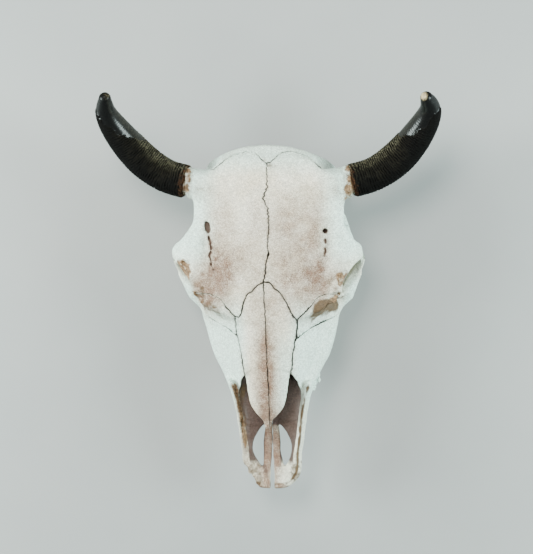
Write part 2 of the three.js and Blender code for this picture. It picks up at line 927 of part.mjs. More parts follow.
// A turned profile of radius(distance) from one distance past the sheath's base to another.
function bentHorn(horn, radius, from, to, step, sides, grow) {
  const steps = Math.round((to - 8 - from) / step);
  const stops = Array.from({ length: steps + 1 }, (_, i) => mix(from, to - 8, i / steps));
  const profile = [...stops, to - 3, to].map((at) => new THREE.Vector2(radius(at) + grow, at));
  profile.unshift(new THREE.Vector2(0, from));
  profile.push(new THREE.Vector2(0, to));
  const shape = new THREE.LatheGeometry(profile, sides);
  const place = shape.attributes.position;
  for (let i = 0; i < place.count; i++) {
    const at = clamp((place.getY(i) + sheathStart) / horn.length, 0, 1);
    const along = horn.curve.getTangentAt(at);
    const across = hornPlane.clone().addScaledVector(along, -along.dot(hornPlane)).normalize();
    const third = new THREE.Vector3().crossVectors(across, along);
    const p = horn.curve.getPointAt(at);
    p.addScaledVector(across, place.getX(i)).addScaledVector(third, place.getZ(i));
    const stretch = mix(1, horn.reach / pathReach, ramp(p.x, hornPath[1][0], hornPath[4][0]));
    place.setXYZ(i, p.x * stretch, p.y, p.z);
  }
  return shape;
}

// Cheek teeth of one side: middle along the row, length, width, lobes, biting end.
const cheekTeeth = [
  { y: -131, length: 16, width: 14, lobes: 1, end: -137 },
  { y: -113, length: 18, width: 17, lobes: 1, end: -145 },
  { y: -94, length: 18, width: 20, lobes: 1, end: -153 },
  { y: -71.5, length: 25, width: 23, lobes: 2, end: -164 },
  { y: -43.5, length: 29, width: 25, lobes: 2, end: -176 },
  { y: -12.5, length: 31, width: 25, lobes: 2, end: -178 },
];

function toothOutline({ length, width, lobes }) {
  const points = [];
  const sides = 12 + 6 * lobes;
  for (let i = 0; i < sides; i++) {
    const angle = ((i + 0.5) / sides) * 2 * Math.PI;
    const [c, s] = [Math.cos(angle), Math.sin(angle)];
    const u = Math.sign(c) * Math.abs(c) ** 0.6 * (length / 2 - 0.2);
    const waist = lobes === 2 ? 0.84 + 0.16 * Math.min(Math.abs(u) / (0.2 * length), 1) : 1;
    points.push([Math.sign(s) * Math.abs(s) ** 0.6 * (width / 2) * waist, u]);
  }
  return points;
}

function tooth(part) {
  const middle = marginX(part.y) - part.width / 2 - 1;
  const outline = toothOutline(part).map(([x, y]) => [x + middle, y + part.y]);
  return planPrism(outline, part.end, marginZ(part.y) + 9, 0);
}

// The bone, thinned and parted.
const bone = thin(meshField([-154, -324, -208], [154, 208, 24]), boneTriangles);
let rest = solidOf(geometryOf(bone.positions, bone.faces));
const solids = {};
const sides = { left: (geometry) => geometry, right: mirrored };

for (const [side, turn] of Object.entries(sides)) {
  const horn = horns[side];
  const sheathLength = horn.length - sheathStart;
  const sheath = (from, grow) =>
    solidOf(turn(bentHorn(horn, sheathRadius(sheathLength), from, sheathLength, 12, 16, grow)));
  const core = (grow) => solidOf(turn(bentHorn(horn, coreRadius, -16, coreLength + grow, 13, 12, grow)));
  solids[`horn_sheath_${side}`] = sheath(0, 0).subtract(core(sutureGap));
  rest = rest.subtract(sheath(-sutureGap, sutureGap)).add(core(0));
}

for (const [part, cutter] of Object.entries(boneCutters))
  for (const [side, turn] of Object.entries(sides)) {
    const turned = (grow) => cutter(grow, turn);
    solids[`${part}_${side}`] = largestBody(rest.intersect(turned(-sutureGap / 2)));
    rest = rest.subtract(turned(sutureGap / 2));
  }
solids.cranium = largestBody(rest);

for (const [side, turn] of Object.entries(sides))
  for (const part of cheekTeeth) {
    const name = `maxilla_${side}`;
    solids[name] = solids[name].add(solidOf(turn(tooth(part))));
  }

// At rest: the forehead slopes down to the nose, and what touches the floor ends in small flats.
const atRest = new THREE.Matrix4()
  .makeRotationX(THREE.MathUtils.degToRad(-restTilt))
  .multiply(new THREE.Matrix4().makeTranslation(0, 0, restDepth));
const floorBlock = new THREE.BoxGeometry(600, 900, 100).toNonIndexed().translate(0, 0, -50);
const below = solidOf(floorBlock.applyMatrix4(atRest.clone().invert()));

const looks = {
  bone: { color: 0xe6ddcf, roughness: 0.72, metalness: 0 },
  horn: { color: 0x2c2722, roughness: 0.5, metalness: 0 },
};
const skull = new THREE.Group();
skull.applyMatrix4(atRest);
for (const [name, solid] of Object.entries(solids)) {
  const { vertProperties, triVerts } = largestBody(solid.subtract(below)).getMesh();
  const look = name.startsWith('horn') ? looks.horn : looks.bone;
  const mesh = new THREE.Mesh(
    geometryOf(vertProperties, triVerts),
    new THREE.MeshStandardMaterial(look),
  );
  mesh.name = name;
  skull.add(mesh);
}

const whole = new THREE.Group();
whole.add(skull);
whole.updateMatrixWorld(true);
const box = new THREE.Box3().setFromObject(whole, true);
const middle = box.getCenter(new THREE.Vector3());
skull.position.sub(new THREE.Vector3(0, middle.y, box.min.z));
whole.updateMatrixWorld(true);

export default whole;
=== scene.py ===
import math
import bpy
import numpy as np
from mathutils import Matrix, Vector


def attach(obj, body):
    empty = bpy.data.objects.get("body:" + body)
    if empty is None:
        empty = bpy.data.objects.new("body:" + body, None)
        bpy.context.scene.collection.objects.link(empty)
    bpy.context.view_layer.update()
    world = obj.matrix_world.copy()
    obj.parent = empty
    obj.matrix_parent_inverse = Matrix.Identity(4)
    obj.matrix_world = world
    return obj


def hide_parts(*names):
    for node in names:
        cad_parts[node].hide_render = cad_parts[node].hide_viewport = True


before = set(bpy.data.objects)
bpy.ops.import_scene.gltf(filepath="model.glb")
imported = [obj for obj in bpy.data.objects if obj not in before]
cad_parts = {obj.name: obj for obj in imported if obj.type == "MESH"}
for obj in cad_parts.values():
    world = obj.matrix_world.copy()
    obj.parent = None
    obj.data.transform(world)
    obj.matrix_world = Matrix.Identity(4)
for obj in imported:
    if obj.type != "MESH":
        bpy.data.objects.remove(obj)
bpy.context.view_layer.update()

# The skull is shaped in millimetres in its own frame: forehead level at z = 0, nose towards -y,
# origin on the midline between the orbits. restPlace turns it to the way it lies, in metres.
mm = 0.001
restTilt = math.radians(4.5)
restPlace = (
    Matrix.Translation((0, 0.0297419, 0.1740618))
    @ Matrix.Rotation(-restTilt, 4, "X")
    @ Matrix.Scale(mm, 4)
)
sides = ((1, "left"), (-1, "right"))


# Smooth shape tools: every form is a distance field, less than zero inside.
def join(a, b, k):
    h = np.maximum(k - np.abs(a - b), 0) / k
    return np.minimum(a, b) - h * h * k / 4


def overlap(a, b, k):
    return -join(-a, -b, k)


def carve(a, b, k):
    return overlap(a, -b, k)


def mix(a, b, t):
    return a + (b - a) * t


def ramp(v, low, high):
    t = np.clip((v - low) / (high - low), 0, 1)
    return t * t * (3 - 2 * t)


def bump(v, centre, spread):
    return np.exp(-(((v - centre) / spread) ** 2))


def blob(u, v, atU, atV, wideU, wideV):
    return bump(u, atU, wideU) * bump(v, atV, wideV)


def through(knots):
    # smooth curve through (position, value) knots, with no overshoot
    at = np.array([k[0] for k in knots], float)
    value = np.array([k[1] for k in knots], float)
    rise = np.diff(value) / np.diff(at)
    slope = np.zeros(len(at))
    inner = rise[:-1] * rise[1:]
    safe = np.where(inner > 0, rise[:-1] + rise[1:], 1)
    slope[1:-1] = np.where(inner > 0, 2 * inner / safe, 0)

    def look(q):
        q = np.clip(q, at[0], at[-1])
        i = np.clip(np.searchsorted(at, q, side="right") - 1, 0, len(at) - 2)
        width = at[i + 1] - at[i]
        t = (q - at[i]) / width
        return (
            (1 + 2 * t) * (1 - t) ** 2 * value[i]
            + t * (1 - t) ** 2 * width * slope[i]
            + t * t * (3 - 2 * t) * value[i + 1]
            + t * t * (t - 1) * width * slope[i + 1]
        )

    return look


def cubic(p, q, leave, arrive, t):
    # smooth step from p to q with the given slopes
    square = (-3 * p + 3 * q - 2 * leave - arrive) * t**2
    return (2 * p - 2 * q + leave + arrive) * t**3 + square + leave * t + p


def smoothOutline(points, count):
    p = np.array(points, float)
    last = len(p) - 1
    at = np.linspace(0, last, count + 1)
    i = np.minimum(at.astype(int), last)
    t = (at - i)[:, None]
    p0, p1 = p[np.maximum(i - 1, 0)], p[i]
    p2, p3 = p[np.minimum(i + 1, last)], p[np.minimum(i + 2, last)]
    return cubic(p1, p2, (p2 - p0) / 2, (p3 - p1) / 2, t)


def lineDistance(points, u, v):
    nearest = 1e9
    for (ax, ay), (bx, by) in zip(points[:-1], points[1:]):
        ex, ey = bx - ax, by - ay
        t = np.clip(((u - ax) * ex + (v - ay) * ey) / (ex * ex + ey * ey or 1), 0, 1)
        nearest = np.minimum(nearest, (u - ax - ex * t) ** 2 + (v - ay - ey * t) ** 2)
    return np.sqrt(nearest)


def outlineDistance(points, u, v):
    inside = np.zeros(np.broadcast(u, v).shape, bool)
    for (ax, ay), (bx, by) in zip(np.roll(points, 1, 0), points):
        if ay != by:
            inside ^= ((ay > v) != (by > v)) & (u < ax + (bx - ax) * (v - ay) / (by - ay))
    nearest = lineDistance(np.vstack([points[-1:], points]), u, v)
    return np.where(inside, -nearest, nearest)


def ellipsoid(x, y, z, centre, radii):
    a, b, c = (x - centre[0]) / radii[0], (y - centre[1]) / radii[1], (z - centre[2]) / radii[2]
    far = np.sqrt(a * a + b * b + c * c)
    slope = np.sqrt((a / radii[0]) ** 2 + (b / radii[1]) ** 2 + (c / radii[2]) ** 2)
    return far * (far - 1) / np.maximum(slope, 1e-9)


def bar(x, y, z, points):
    # round bar through (x, y, z, radius) points
    best = 1e9
    for (ax, ay, az, ar), (bx, by, bz, br) in zip(points[:-1], points[1:]):
        ex, ey, ez = bx - ax, by - ay, bz - az
        t = ((x - ax) * ex + (y - ay) * ey + (z - az) * ez) / (ex * ex + ey * ey + ez * ez)
        t = np.clip(t, 0, 1)
        gap = np.sqrt((x - ax - ex * t) ** 2 + (y - ay - ey * t) ** 2 + (z - az - ez * t) ** 2)
        best = np.minimum(best, gap - mix(ar, br, t))
    return best


def zigzag(along, size, period, seed):
    # wandering saw line of a suture
    phase = along / period + 0.35 * np.sin(along / 13 + seed) + 0.2 * np.sin(along / 5.1 + 2 * seed)
    coarse = np.arcsin(np.sin(2 * np.pi * phase))
    fine = np.arcsin(np.sin(2 * np.pi * 2.7 * phase + seed))
    return size * (coarse * 0.5 + fine * 0.22)


latticeSize = 64  # a power of two
lattice = np.random.default_rng(7).random((latticeSize,) * 3).astype(np.float32) * 2 - 1


def roughness(x, y, z, size, seed):
    # smooth noise between -1 and 1 with lumps of the given size
    q = [np.asarray(v, np.float32) / size + 11.3 * seed for v in np.broadcast_arrays(x, y, z)]
    low = [np.floor(v).astype(int) for v in q]
    part = [v - f for v, f in zip(q, low)]
    sx, sy, sz = [t * t * (3 - 2 * t) for t in part]
    wrap = latticeSize - 1
    (ix, iy, iz), (jx, jy, jz) = [f & wrap for f in low], [(f + 1) & wrap for f in low]
    row = lambda v, w: mix(lattice[ix, v, w], lattice[jx, v, w], sx)
    return mix(mix(row(iy, iz), row(jy, iz), sy), mix(row(iy, jz), row(jy, jz), sy), sz)


# The bone. Sizes are the solid's own, in millimetres.
bone = {
    "tipY": -308.0,
    "napeY": 185.0,
    "nasionY": -10.0,
    "nasalTipY": -219.0,
    "palateZ": -100.0,
    "nasalThickness": 5.5,
    "nasalCurve": 0.0125,  # fall of the nasal bones to each side
    "restHeight": -174.6,  # level of the floor below the origin
    "faceRound": 9.0,
    "cell": 1.4,  # grid step
    "sutureGap": 0.12,  # half the open width of a suture
    "sutureRound": 0.8,
    "leastPoints": 300,  # smaller loose pieces are dropped
}

foreheadPlan = smoothOutline(
    [
        (-30, bone["napeY"] - 1), (0, bone["napeY"]), (26, 183), (48, 177), (65, 168), (74, 157), (84, 148),
        (99, 140), (107, 118), (107, 92), (108, 76), (119, 59), (131, 45), (134, 34), (130, 22), (120, 8),
        (110, -8), (106, -24), (96, -38), (70, -52), (30, -58), (-30, -60),
    ],
    90,
)
crownLine = through([
    (-60, -10), (bone["nasionY"] - 2, -4), (20, 3), (60, 7), (100, 6), (140, 1), (165, -8),
    (bone["napeY"], -24),
])

# bridge, nasal shoulder x and z, cheek x and z, crest x and z, tooth margin x and z, palate
faceStations = [
    (-214, -40, 20, -52, 36, -70, 46, -82, 38, -100, -99),
    (-190, -32, 24, -46, 42, -66, 52, -80, 42, -101, -99),
    (-165, -25, 30, -38, 49, -62, 60, -78, 46, -104, -99),
    (-135, -19, 35, -31, 58, -61, 73, -80, 52, -115, -104),
    (-110, -15, 38, -26, 68, -60, 86, -84, 57, -126, -110),
    (-77, -11, 43, -21, 78, -58, 95, -86, 61, -137, -118),
    (-45, -7, 49, -15, 87, -52, 100, -84, 65, -144, -126),
    (-22, -4, 56, -9, 86, -48, 92, -90, 67, -150, -132),
    (12, 0, 58, -6, 64, -42, 64, -98, 64, -152, -136),
    (34, 3, 52, -4, 56, -42, 50, -92, 44, -140, -132),
    (60, 5, 46, -4, 50, -42, 46, -90, 34, -128, -128),
]
faceLines = [through([(s[0], s[k]) for s in faceStations]) for k in range(1, 11)]
bridgeLine, marginX, marginZ = faceLines[0], faceLines[7], faceLines[8]


def faceSection(y):
    bridge, sx, sz, cx, cz, kx, kz, mx, mz, palate = [line(y) for line in faceLines]
    r = bone["faceRound"]
    inset = r * 0.7
    return smoothOutline(
        [
            (-30, bridge - r), (0, bridge - r), (sx - inset, sz - inset), (cx - r, cz - 2), (kx - r, kz),
            (mx - inset, mz + inset), (mx - 24, mz + inset), (12, palate + r), (-30, palate + r),
        ],
        28,
    )


nasalPlan = smoothOutline(
    [
        (0, bone["nasionY"]), (10, -17), (22, -25), (31, -41), (38, -52), (43, -60), (42, -78), (38, -98),
        (34.5, -124), (31, -148), (28, -168), (23.5, -185), (15, -197), (7.5, -205), (5, -212),
        (2.5, bone["nasalTipY"]), (0, -214),
    ],
    64,
)
nosePlan = smoothOutline(
    [
        (-40, -120), (20, -132), (33, -139), (42, -156), (45, -176), (42, -200), (38, -240), (34, -330),
        (-40, -330),
    ],
    40,
)
snoutPlan = smoothOutline(
    [
        (-30, -100), (76, -118), (62, -150), (54, -174), (50, -195), (47.5, -215), (45, -236), (41.5, -258),
        (41, -278), (37, -292), (26, -303), (12, bone["tipY"]), (-30, bone["tipY"]),
    ],
    50,
)
slotPlan = smoothOutline(
    [
        (9, -212), (19, -225), (27, -240), (28.5, -254), (22, -268), (14, -277), (12.5, -262),
        (12.5, -240), (9, -212),
    ],
    40,
)
snoutRim = through([
    (-300, -92), (-282, -87), (-262, -81), (-236, -71), (-209, -62), (-180, -54), (-150, -46),
])
napeOutline = smoothOutline(
    [
        (-30, -24), (0, -24), (40, -27), (69, -42), (88.5, -70), (97.5, -102), (95, -124), (80, -142),
        (54, -150), (24, -154), (-30, -154),
    ],
    36,
)
napeLine = through([(-160, 158), (-120, 162), (-90, 168), (-60, 175), (-30, 178)])
wingOutline = [(18, -118), (30, -150), (46, -164), (62, -160), (72, -140), (84, -120)]
hollowLine = through([(-214, 38), (-180, 41), (-140, 38), (-90, 32), (-30, 22)])
floorLine = through([(-330, -91), (-200, -91), (-150, -90), (-90, -100), (-30, -108)])

socketCentre = (115, 3, -51)
socketOut = Vector((0.82, -0.49, 0.24)).normalized()
socketRadius, socketDepth = 32, 58


# The skull grew a little crooked: each cross-section is moved this far towards +x.
sway = through([
    (bone["tipY"], -0.6), (-100, -0.4), (-50, -1.6), (-20, -2.8), (5, -3.8), (30, -3.5), (60, -1.5),
    (90, 0.8), (120, 1.2), (145, -0.5), (165, -3), (bone["napeY"], -3),
])


def foreheadTop(x, y):
    fall = 15 * (x / 105) ** 2 + 9 * ramp(x, 108, 136)
    socketRoof = 5 * blob(x, y, 108, 30, 17, 30)
    groove = 5 * blob(x, y, 86, 46, 7, 26)
    dish = 4 * blob(x, y, 60, 105, 22, 26)
    hornRise = 9 * blob(x, y, 100, 138, 26, 22)
    return crownLine(y) - fall + socketRoof - groove - dish + hornRise


# Throat, ear, nerve hole of the face, hole behind the orbit, holes of the palate and of the base: each is a
# round bar and the softness of its rim.
hollows = [
    ([(0, -30, -107, 10), (0, 20, -124, 14), (0, 48, -140, 17), (0, 80, -160, 19)], 6),
    ([(100, 112, -112, 5.5), (70, 116, -116, 4)], 2.5),
    ([(70, -136, -86, 5), (52, -112, -84, 4)], 3),
    ([(66, 34, -66, 6), (40, 52, -70, 4)], 2),
    ([(20, -92, -132, 3.4), (18, -80, -104, 2.6)], 2),
    ([(22, 150, -164, 3.2), (26, 140, -136, 2.6)], 2),
]


def skullRow(y, x, z, nape):
    # the whole bone on one slice across the head; x is never less than zero here
    top = foreheadTop(x, y)
    bridge = bridgeLine(y)

    shape = ellipsoid(x, y, z, (0, 104, -78), (62, 84, 58))
    napeHollow = 7 * blob(x, z, 42, -92, 30, 34)
    keel = 3 * blob(x, z, 0, -62, 7, 26)
    back = overlap(nape, np.maximum(106 - y, y - napeLine(z) + napeHollow - keel), 14)
    shape = join(shape, back, 14)
    crest = bar(x, y, z, [
        (0, 178, -30, 6), (30, 175, -31, 6), (58, 166, -36, 5.5), (76, 152, -52, 5.5), (90, 142, -80, 6),
        (98, 134, -108, 9), (88, 130, -128, 10),
    ])
    shape = join(shape, crest, 10)

    thick = mix(40, 13, ramp(x, 40, 96))
    plate = overlap(z - top, outlineDistance(foreheadPlan, x, y), 9)
    shape = join(shape, overlap(plate, top - thick - z, 9), 14)
    stalk = bar(x, y, z, [
        (60, 120, -34, 26), (96, 132, -28, 22), (118, 137, -28, 20.5), (130, 139, -28, 19.5),
    ])
    shape = join(shape, stalk, 13)

    if y < 70:
        face = outlineDistance(faceSection(y), x, z) - bone["faceRound"]
        shape = join(shape, overlap(face, max(y - 60, -214 - y), 6), 12)

    arch = bar(x, y, z, [
        (80, -50, -88, 12), (111, -24, -88, 11), (125.5, 6, -88, 9), (123, 34, -88, 8), (110, 62, -90, 7.5),
        (98, 86, -94, 9), (82, 104, -100, 12),
    ])
    shape = join(shape, arch, 10)
    shape = join(shape, bar(x, y, z, [(126, 38, -34, 8), (127, 36, -60, 6.5), (121, 34, -88, 7.5)]), 9)
    u, v, w = x - socketCentre[0], y - socketCentre[1], z - socketCentre[2]
    height = u * socketOut[0] + v * socketOut[1] + w * socketOut[2]
    around = np.sqrt(np.maximum(u * u + v * v + w * w - height * height, 0))
    shape = join(shape, np.hypot(around - socketRadius, height) - 6.5, 7)

    base = bar(x, y, z, [(0, 160, -144, 17), (0, 120, -137, 15), (0, 76, -119, 13), (0, 30, -107, 12)])
    shape = join(shape, base, 10)
    shape = join(shape, ellipsoid(x, y, z, (40, 116, -146), (13, 19, 15)), 6)
    shape = join(shape, ellipsoid(x, y, z, (76, 92, -112), (25, 15, 9)), 9)
    wing = overlap(np.abs(x - mix(26, 34, ramp(z, -160, -120))) - 3.2, outlineDistance(wingOutline, y, z), 3)
    shape = join(shape, wing, 8)
    process = bar(x * 1.25, y, z, [(84, 144, -132, 15), (77, 149, -160, 12), (68, 152, -184, 8)])
    shape = join(shape, process / 1.12, 12)
    shape = join(shape, ellipsoid(x, y, z, (29, 166, -138), (19, 16, 20)), 7)

    shape = carve(shape, bar(x, y, z, [(0, 196, -122, 19), (0, 140, -116, 15)]), 5)
    wide = mix(8, 28, np.clip(height / socketDepth + 1, 0, 1))
    shape = carve(shape, overlap(around - wide, -socketDepth - height, 8), 5)
    for points, k in hollows:
        shape = carve(shape, bar(x, y, z, points), k)
    return shape, top, bridge


def noseRow(y, x, z, shape, top, bridge):
    # nose, snout and the marks of this one skull; x is less than zero on its right
    a = np.abs(x)
    arch = z - (bridge - bone["nasalCurve"] * a * a - 0.5)
    floor = floorLine(y)
    cavity = overlap(overlap(a - hollowLine(y), arch + bone["nasalThickness"], 10), floor - z, 10)
    shape = carve(shape, overlap(cavity, y + 30, 16), 3)
    if -150 < y < -34:
        # scrolls and the upright plate inside the nose
        upper = bar(a, y, z, [(17, -34, -46, 9), (17, -100, -46, 8), (17, -128, -50, 4)])
        lower = bar(a, y, z, [(19, -34, -74, 11), (19, -118, -76, 9), (18, -144, -78, 4)])
        scroll = np.maximum(np.minimum(upper, lower), 1.6 - np.abs(a - 24 + 0.25 * (z + 60)))
        shape = np.minimum(shape, scroll)
        upright = np.maximum(np.maximum(z + 40 - 0.3 * (y + 40), -145 - y), floor - 4 - z)
        shape = np.minimum(shape, overlap(a - 1.6, upright, 2))
    if y < -110:
        notch = overlap(outlineDistance(nosePlan, a, y), floor - z, 6)
        notch = notch + 1.3 * roughness(x, y, 0, 5, 3) * ramp(y, -172, -150)
        shape = carve(shape, notch, 2)
        snout = outlineDistance(snoutPlan, a, y)
        rim = snoutRim(y) + 1.5 * roughness(x, y, 0, 7, 5)
        wall = overlap(snout, -snout - mix(9, 7, ramp(-y, 150, 165)), 3)
        wall = overlap(wall, overlap(z - rim, bone["palateZ"] - z, 3), 4)
        plate = overlap(snout, np.abs(z - bone["palateZ"] - 5) - 5, 4)
        rods = bar(a, y, z, [(6.8, -204, -93.5, 4.6), (7.2, -250, -94, 5), (9, -288, -93, 6)])
        body = bar(a, y, z, [(34, -262, -88, 5), (31, -284, -91, 7), (22, -298, -92, 5)])
        made = overlap(join(join(join(wall, plate, 9), rods, 3), body, 8), y + 146, 10)
        made = carve(made, outlineDistance(slotPlan, np.where(x > 0, x - 4 * ramp(-y, 252, 277), a), y), 3)
        gap = np.abs(x - 0.6) - mix(0.45, 3.0, ramp(-y, 238, 298)) - 0.4 * roughness(0, y, 0, 6, 4)
        made = carve(made, overlap(gap, y + 222, 1), 1.5)
        shape = join(shape, made, 6)
    if y < -50:
        plan = outlineDistance(nasalPlan, np.abs(x + 2), y)
        thick = mix(2.6, bone["nasalThickness"], ramp(-plan, 0, 14))
        nasal = overlap(np.abs(arch + thick / 2) - thick / 2, plan, 1.6)
        shape = join(shape, overlap(nasal, y + 60, 4), 2.5)

    x = x + sway(y)
    if -172 < y < -128:
        flake = bar(x, y, z, [(60, -136, -90, 6), (67.5, -149, -93, 4), (61, -164, -94, 2)])
        shape = join(shape, flake + 2.4 * roughness(x, y, z, 4.5, 2) + 1.4 * roughness(x, y, z, 2.4, 7), 2)
    if 100 < y < 175:
        # crusty rim of bone where each sheath begins
        burr = bar(a, y, z, [(106, 132.6, -25.8, 22), (115, 135.2, -26.8, 23)])
        burr = burr + 1.5 * roughness(x, y, z, 4, 5) + 0.8 * roughness(x, y, z, 2, 6)
        shape = join(shape, np.maximum(burr, np.abs(a - 113) - 4), 3)
    for *pit, depth in pits:
        if abs(y - pit[1]) < pit[3] + 14:
            hole = pitDistance(x, y, *pit) + 0.6 * roughness(x, y, z, 3.5, 4)
            shape = carve(shape, overlap(hole, top - depth - z, 2), 1.6)
    if -65 < y < 75:
        shape = carve(shape, overlap(crackDistance(x, y) + 0.3, top - 3.5 - z, 1), 1.2)
    for centre, radii, seed in breaks:
        if abs(y - centre[1]) < radii[1] + 8:
            rough = 2.2 * roughness(x, y, z, 6, seed) + 1.1 * roughness(x, y, z, 2.6, seed + 1)
            shape = carve(shape, ellipsoid(x, y, z, centre, radii) + rough, 2)
    if y < -255:
        corner = (x + 41) * 0.856 + (y + 272) * 0.518
        corner = corner + 2.4 * roughness(x, y, z, 6, 9) + roughness(x, y, z, 2.5, 2)
        shape = overlap(shape, -corner, 1.5)
    return np.maximum(shape, restLevel(y) - z)


def restLevel(y):
    return bone["restHeight"] + math.tan(restTilt) * y


# Marks seen on the face: x, y, half width, half length, turn in degrees, depth
pits = [
    (-84.5, 70, 4.3, 8.6, 14, 7), (-82.5, 54, 2.0, 3.4, 8, 6), (81, 64.5, 3.1, 3.3, 0, 12),
    (2.4, 31, 2.1, 3.2, -14, 7), (-12.5, -277, 2.2, 3.2, 20, 9), (-9.5, -284, 1.9, 2.2, 0, 8),
    (-20, -268, 1.5, 1.8, 0, 4),
]
# path and half width
cracks = [
    ([(-84, 58), (-81, 50), (-79.5, 40), (-81.5, 30), (-80, 20), (-76, 8)], 1.7),
    ([(81, 54), (82, 47), (80, 40), (80.5, 29)], 1.0),
    ([(70, 21), (73, 15), (76, 8)], 0.5),
    ([(-97, -37), (-87, -48), (-77, -59)], 0.6),
    ([(36, -10), (33, -3), (35, 3)], 0.25),
]


def pitDistance(x, y, px, py, rx, ry, turn):
    c, s = math.cos(math.radians(turn)), math.sin(math.radians(turn))
    u, v = (x - px) * c + (y - py) * s, (y - py) * c - (x - px) * s
    return (np.hypot(u / rx, v / ry) - 1) * min(rx, ry)


def crackDistance(x, y):
    # how far a point of the face is from the edge of the nearest crack, less than zero in it
    wander = 1.2 * roughness(x, y, 0, 7, 6)
    uneven = 0.9 * roughness(x, y, 0, 2.8, 9) + 0.7 * roughness(x, y, 0, 7, 2)
    nearest = 9.0
    for path, width in cracks:
        nearest = np.minimum(nearest, lineDistance(path, x + wander, y) - width * (0.85 + uneven))
    return nearest


# centre, half sizes, seed
breaks = [
    ((-123, 10, -11), (15, 15, 9), 3), ((-104, -32, -20), (13, 8, 10), 4), ((113, -8, -12), (13, 17, 9), 5),
    ((102, -30, -20), (16, 9, 10), 6), ((92, -45, -26), (19, 9, 7), 7), ((63, -158, -78), (6, 10, 9), 8),
]
ochreSpots = [
    ((-121, 11, -16), 14), ((-108, -30, -26), 10), ((-97, -40, -30), 6), ((106, -6, -16), 17),
    ((114, -22, -24), 18),
    ((100, -32, -28), 17), ((88, -42, -36), 11), ((-47, -160, -48), 7),
]

# Where one bone ends and the next begins.
midLine = through([
    (-330, 0.8), (-217, 0.6), (-150, -0.2), (-127, -1.3), (-67, -2.9), (-30, -4.4), (-8, -5.2), (0, -3),
    (20, -0.8), (32, 2.2), (42, 1.4), (72, 3), (89, 1.8), (97, 0.6), (109, -4.4), (117, -3.2), (126, 0.2),
    (150, -0.6), (190, 0.8),
])
midZigzag = through([
    (-330, 0.1), (-150, 0.2), (-60, 0.35), (-12, 0.6), (0, 1.2), (16, 0.6), (68, 0.7), (82, 1.4), (126, 1.7),
    (140, 1.2), (185, 0.8),
])
nasalEdge = smoothOutline(
    [
        (-5.2, -7), (4, -9), (11.5, -16.5), (22, -26.7), (30.3, -45), (36, -55), (40.5, -60), (40.5, -78),
        (36, -100), (33.3, -128), (31, -140), (35, -150), (36, -235), (-39, -235), (-38, -150), (-35, -140),
        (-38, -118), (-40.3, -98), (-44, -80), (-46.4, -58), (-41, -56.5), (-37, -50), (-34.4, -38),
        (-27.5, -24.5), (-16, -15), (-5.2, -7),
    ],
    130,
)
snoutSide = [
    (-340, -10), (-160, -10), (-158, -48), (-172, -60), (-200, -80), (-214, -94), (-218, -140), (-340, -140),
]
maxillaPlan = [
    (-20, -340), (150, -340), (150, -50), (104, -50), (93, -55), (78, -63), (61, -71), (50, -78),
    (41, -86), (36, -92),
    (-20, -92),
]
maxillaSide = [
    (-104, -260), (19, -260), (21, -140), (14, -112), (-20, -103), (-56, -98), (-104, -98),
]
cheekSide = [
    (-60, -88), (-46, -72), (-28, -66), (20, -66), (30, -62), (52, -64), (58, -80), (78, -78),
    (70, -112), (0, -114),
    (-40, -110),
]
lacrimalPlan = [
    (34, -92), (41, -86), (50, -78), (61, -71), (78, -63), (93, -55), (104, -50), (130, -40), (124, -22),
    (100, -22), (82, -24), (67, -30), (60, -42), (50, -52), (41, -61), (34, -61),
]
coronalLine = through([
    (0, 160), (20, 175), (30, 176.5), (48, 172), (60, 165), (70, 157), (78, 151), (86, 158), (130, 172),
])


def ownGround(x, y, z):
    # each bone's own ground, less than zero inside, in the order in which they come first
    mid = x - midLine(y) - zigzag(y, midZigzag(y), 6.5, 1) - 0.5 * roughness(0, y, 0, 4, 3)
    saw = zigzag(x + 0.6 * y, 0.6, 5, 2) + 1.3 * roughness(x, y, 0, 8, 2) + 0.7 * roughness(x, y, 0, 3, 5)
    under = bridgeLine(y) - bone["nasalCurve"] * x * x - 2.5 - bone["nasalThickness"]
    ground = {"nasal": np.maximum(outlineDistance(nasalEdge, x, y) + saw, under - z)}
    ground["premaxilla"] = outlineDistance(snoutSide, y, z) + 0.5 * saw
    a = np.abs(x)
    ground["zygomatic"] = np.maximum(outlineDistance(cheekSide, y, z) + saw, 86 - a)
    ground["lacrimal"] = np.maximum(outlineDistance(lacrimalPlan, a, y) + 0.8 * saw, -70 - z)
    ground["maxilla"] = np.minimum(
        outlineDistance(maxillaPlan, a, y) + 1.3 * saw,
        np.maximum(outlineDistance(maxillaSide, y, z), a - 86),
    )
    lower = -46 - 18 * ramp(a, 78, 95) * ramp(y, 85, 110) + zigzag(y + a, 0.6, 6, 4)
    behind = 0.8 * (y - coronalLine(a)) + zigzag(x, 0.8, 6, 5)
    ground["frontal"] = np.maximum(lower - z, behind)
    ground["occipital"] = 112 - y + 0 * z
    ground["temporal"] = np.maximum(34 - a, 20 - y) + 0 * z
    ground["sphenoid"] = -50 + 0 * (x + y + z)
    return ground, mid


paired = ("nasal", "premaxilla", "zygomatic", "lacrimal", "maxilla", "frontal", "temporal")
stands = dict.fromkeys(("frontal", "occipital", "temporal", "sphenoid"), "cranium")
# lowest and highest corner of the right-hand piece
reach = {
    "nasal": ((-12, -222, -64), (52, 2, 10)),
    "premaxilla": ((-8, -312, -106), (64, -140, -30)),
    "zygomatic": ((80, -68, -122), (148, 92, -52)),
    "lacrimal": ((34, -94, -76), (134, -12, 2)),
    "maxilla": ((-8, -226, -162), (108, 32, -14)),
    "frontal": ((-14, -80, -86), (152, 190, 22)),
    "occipital": ((-114, 98, -196), (114, 192, 6)),
    "temporal": ((26, 12, -150), (132, 122, -36)),
    "sphenoid": ((-112, -106, -172), (112, 122, -30)),
}
swayRoom = 5  # widens the reach to each side, since sway moves the bone
outsideLeast = 0.4  # distance given to the faces of a piece's grid, so that its mesh is closed


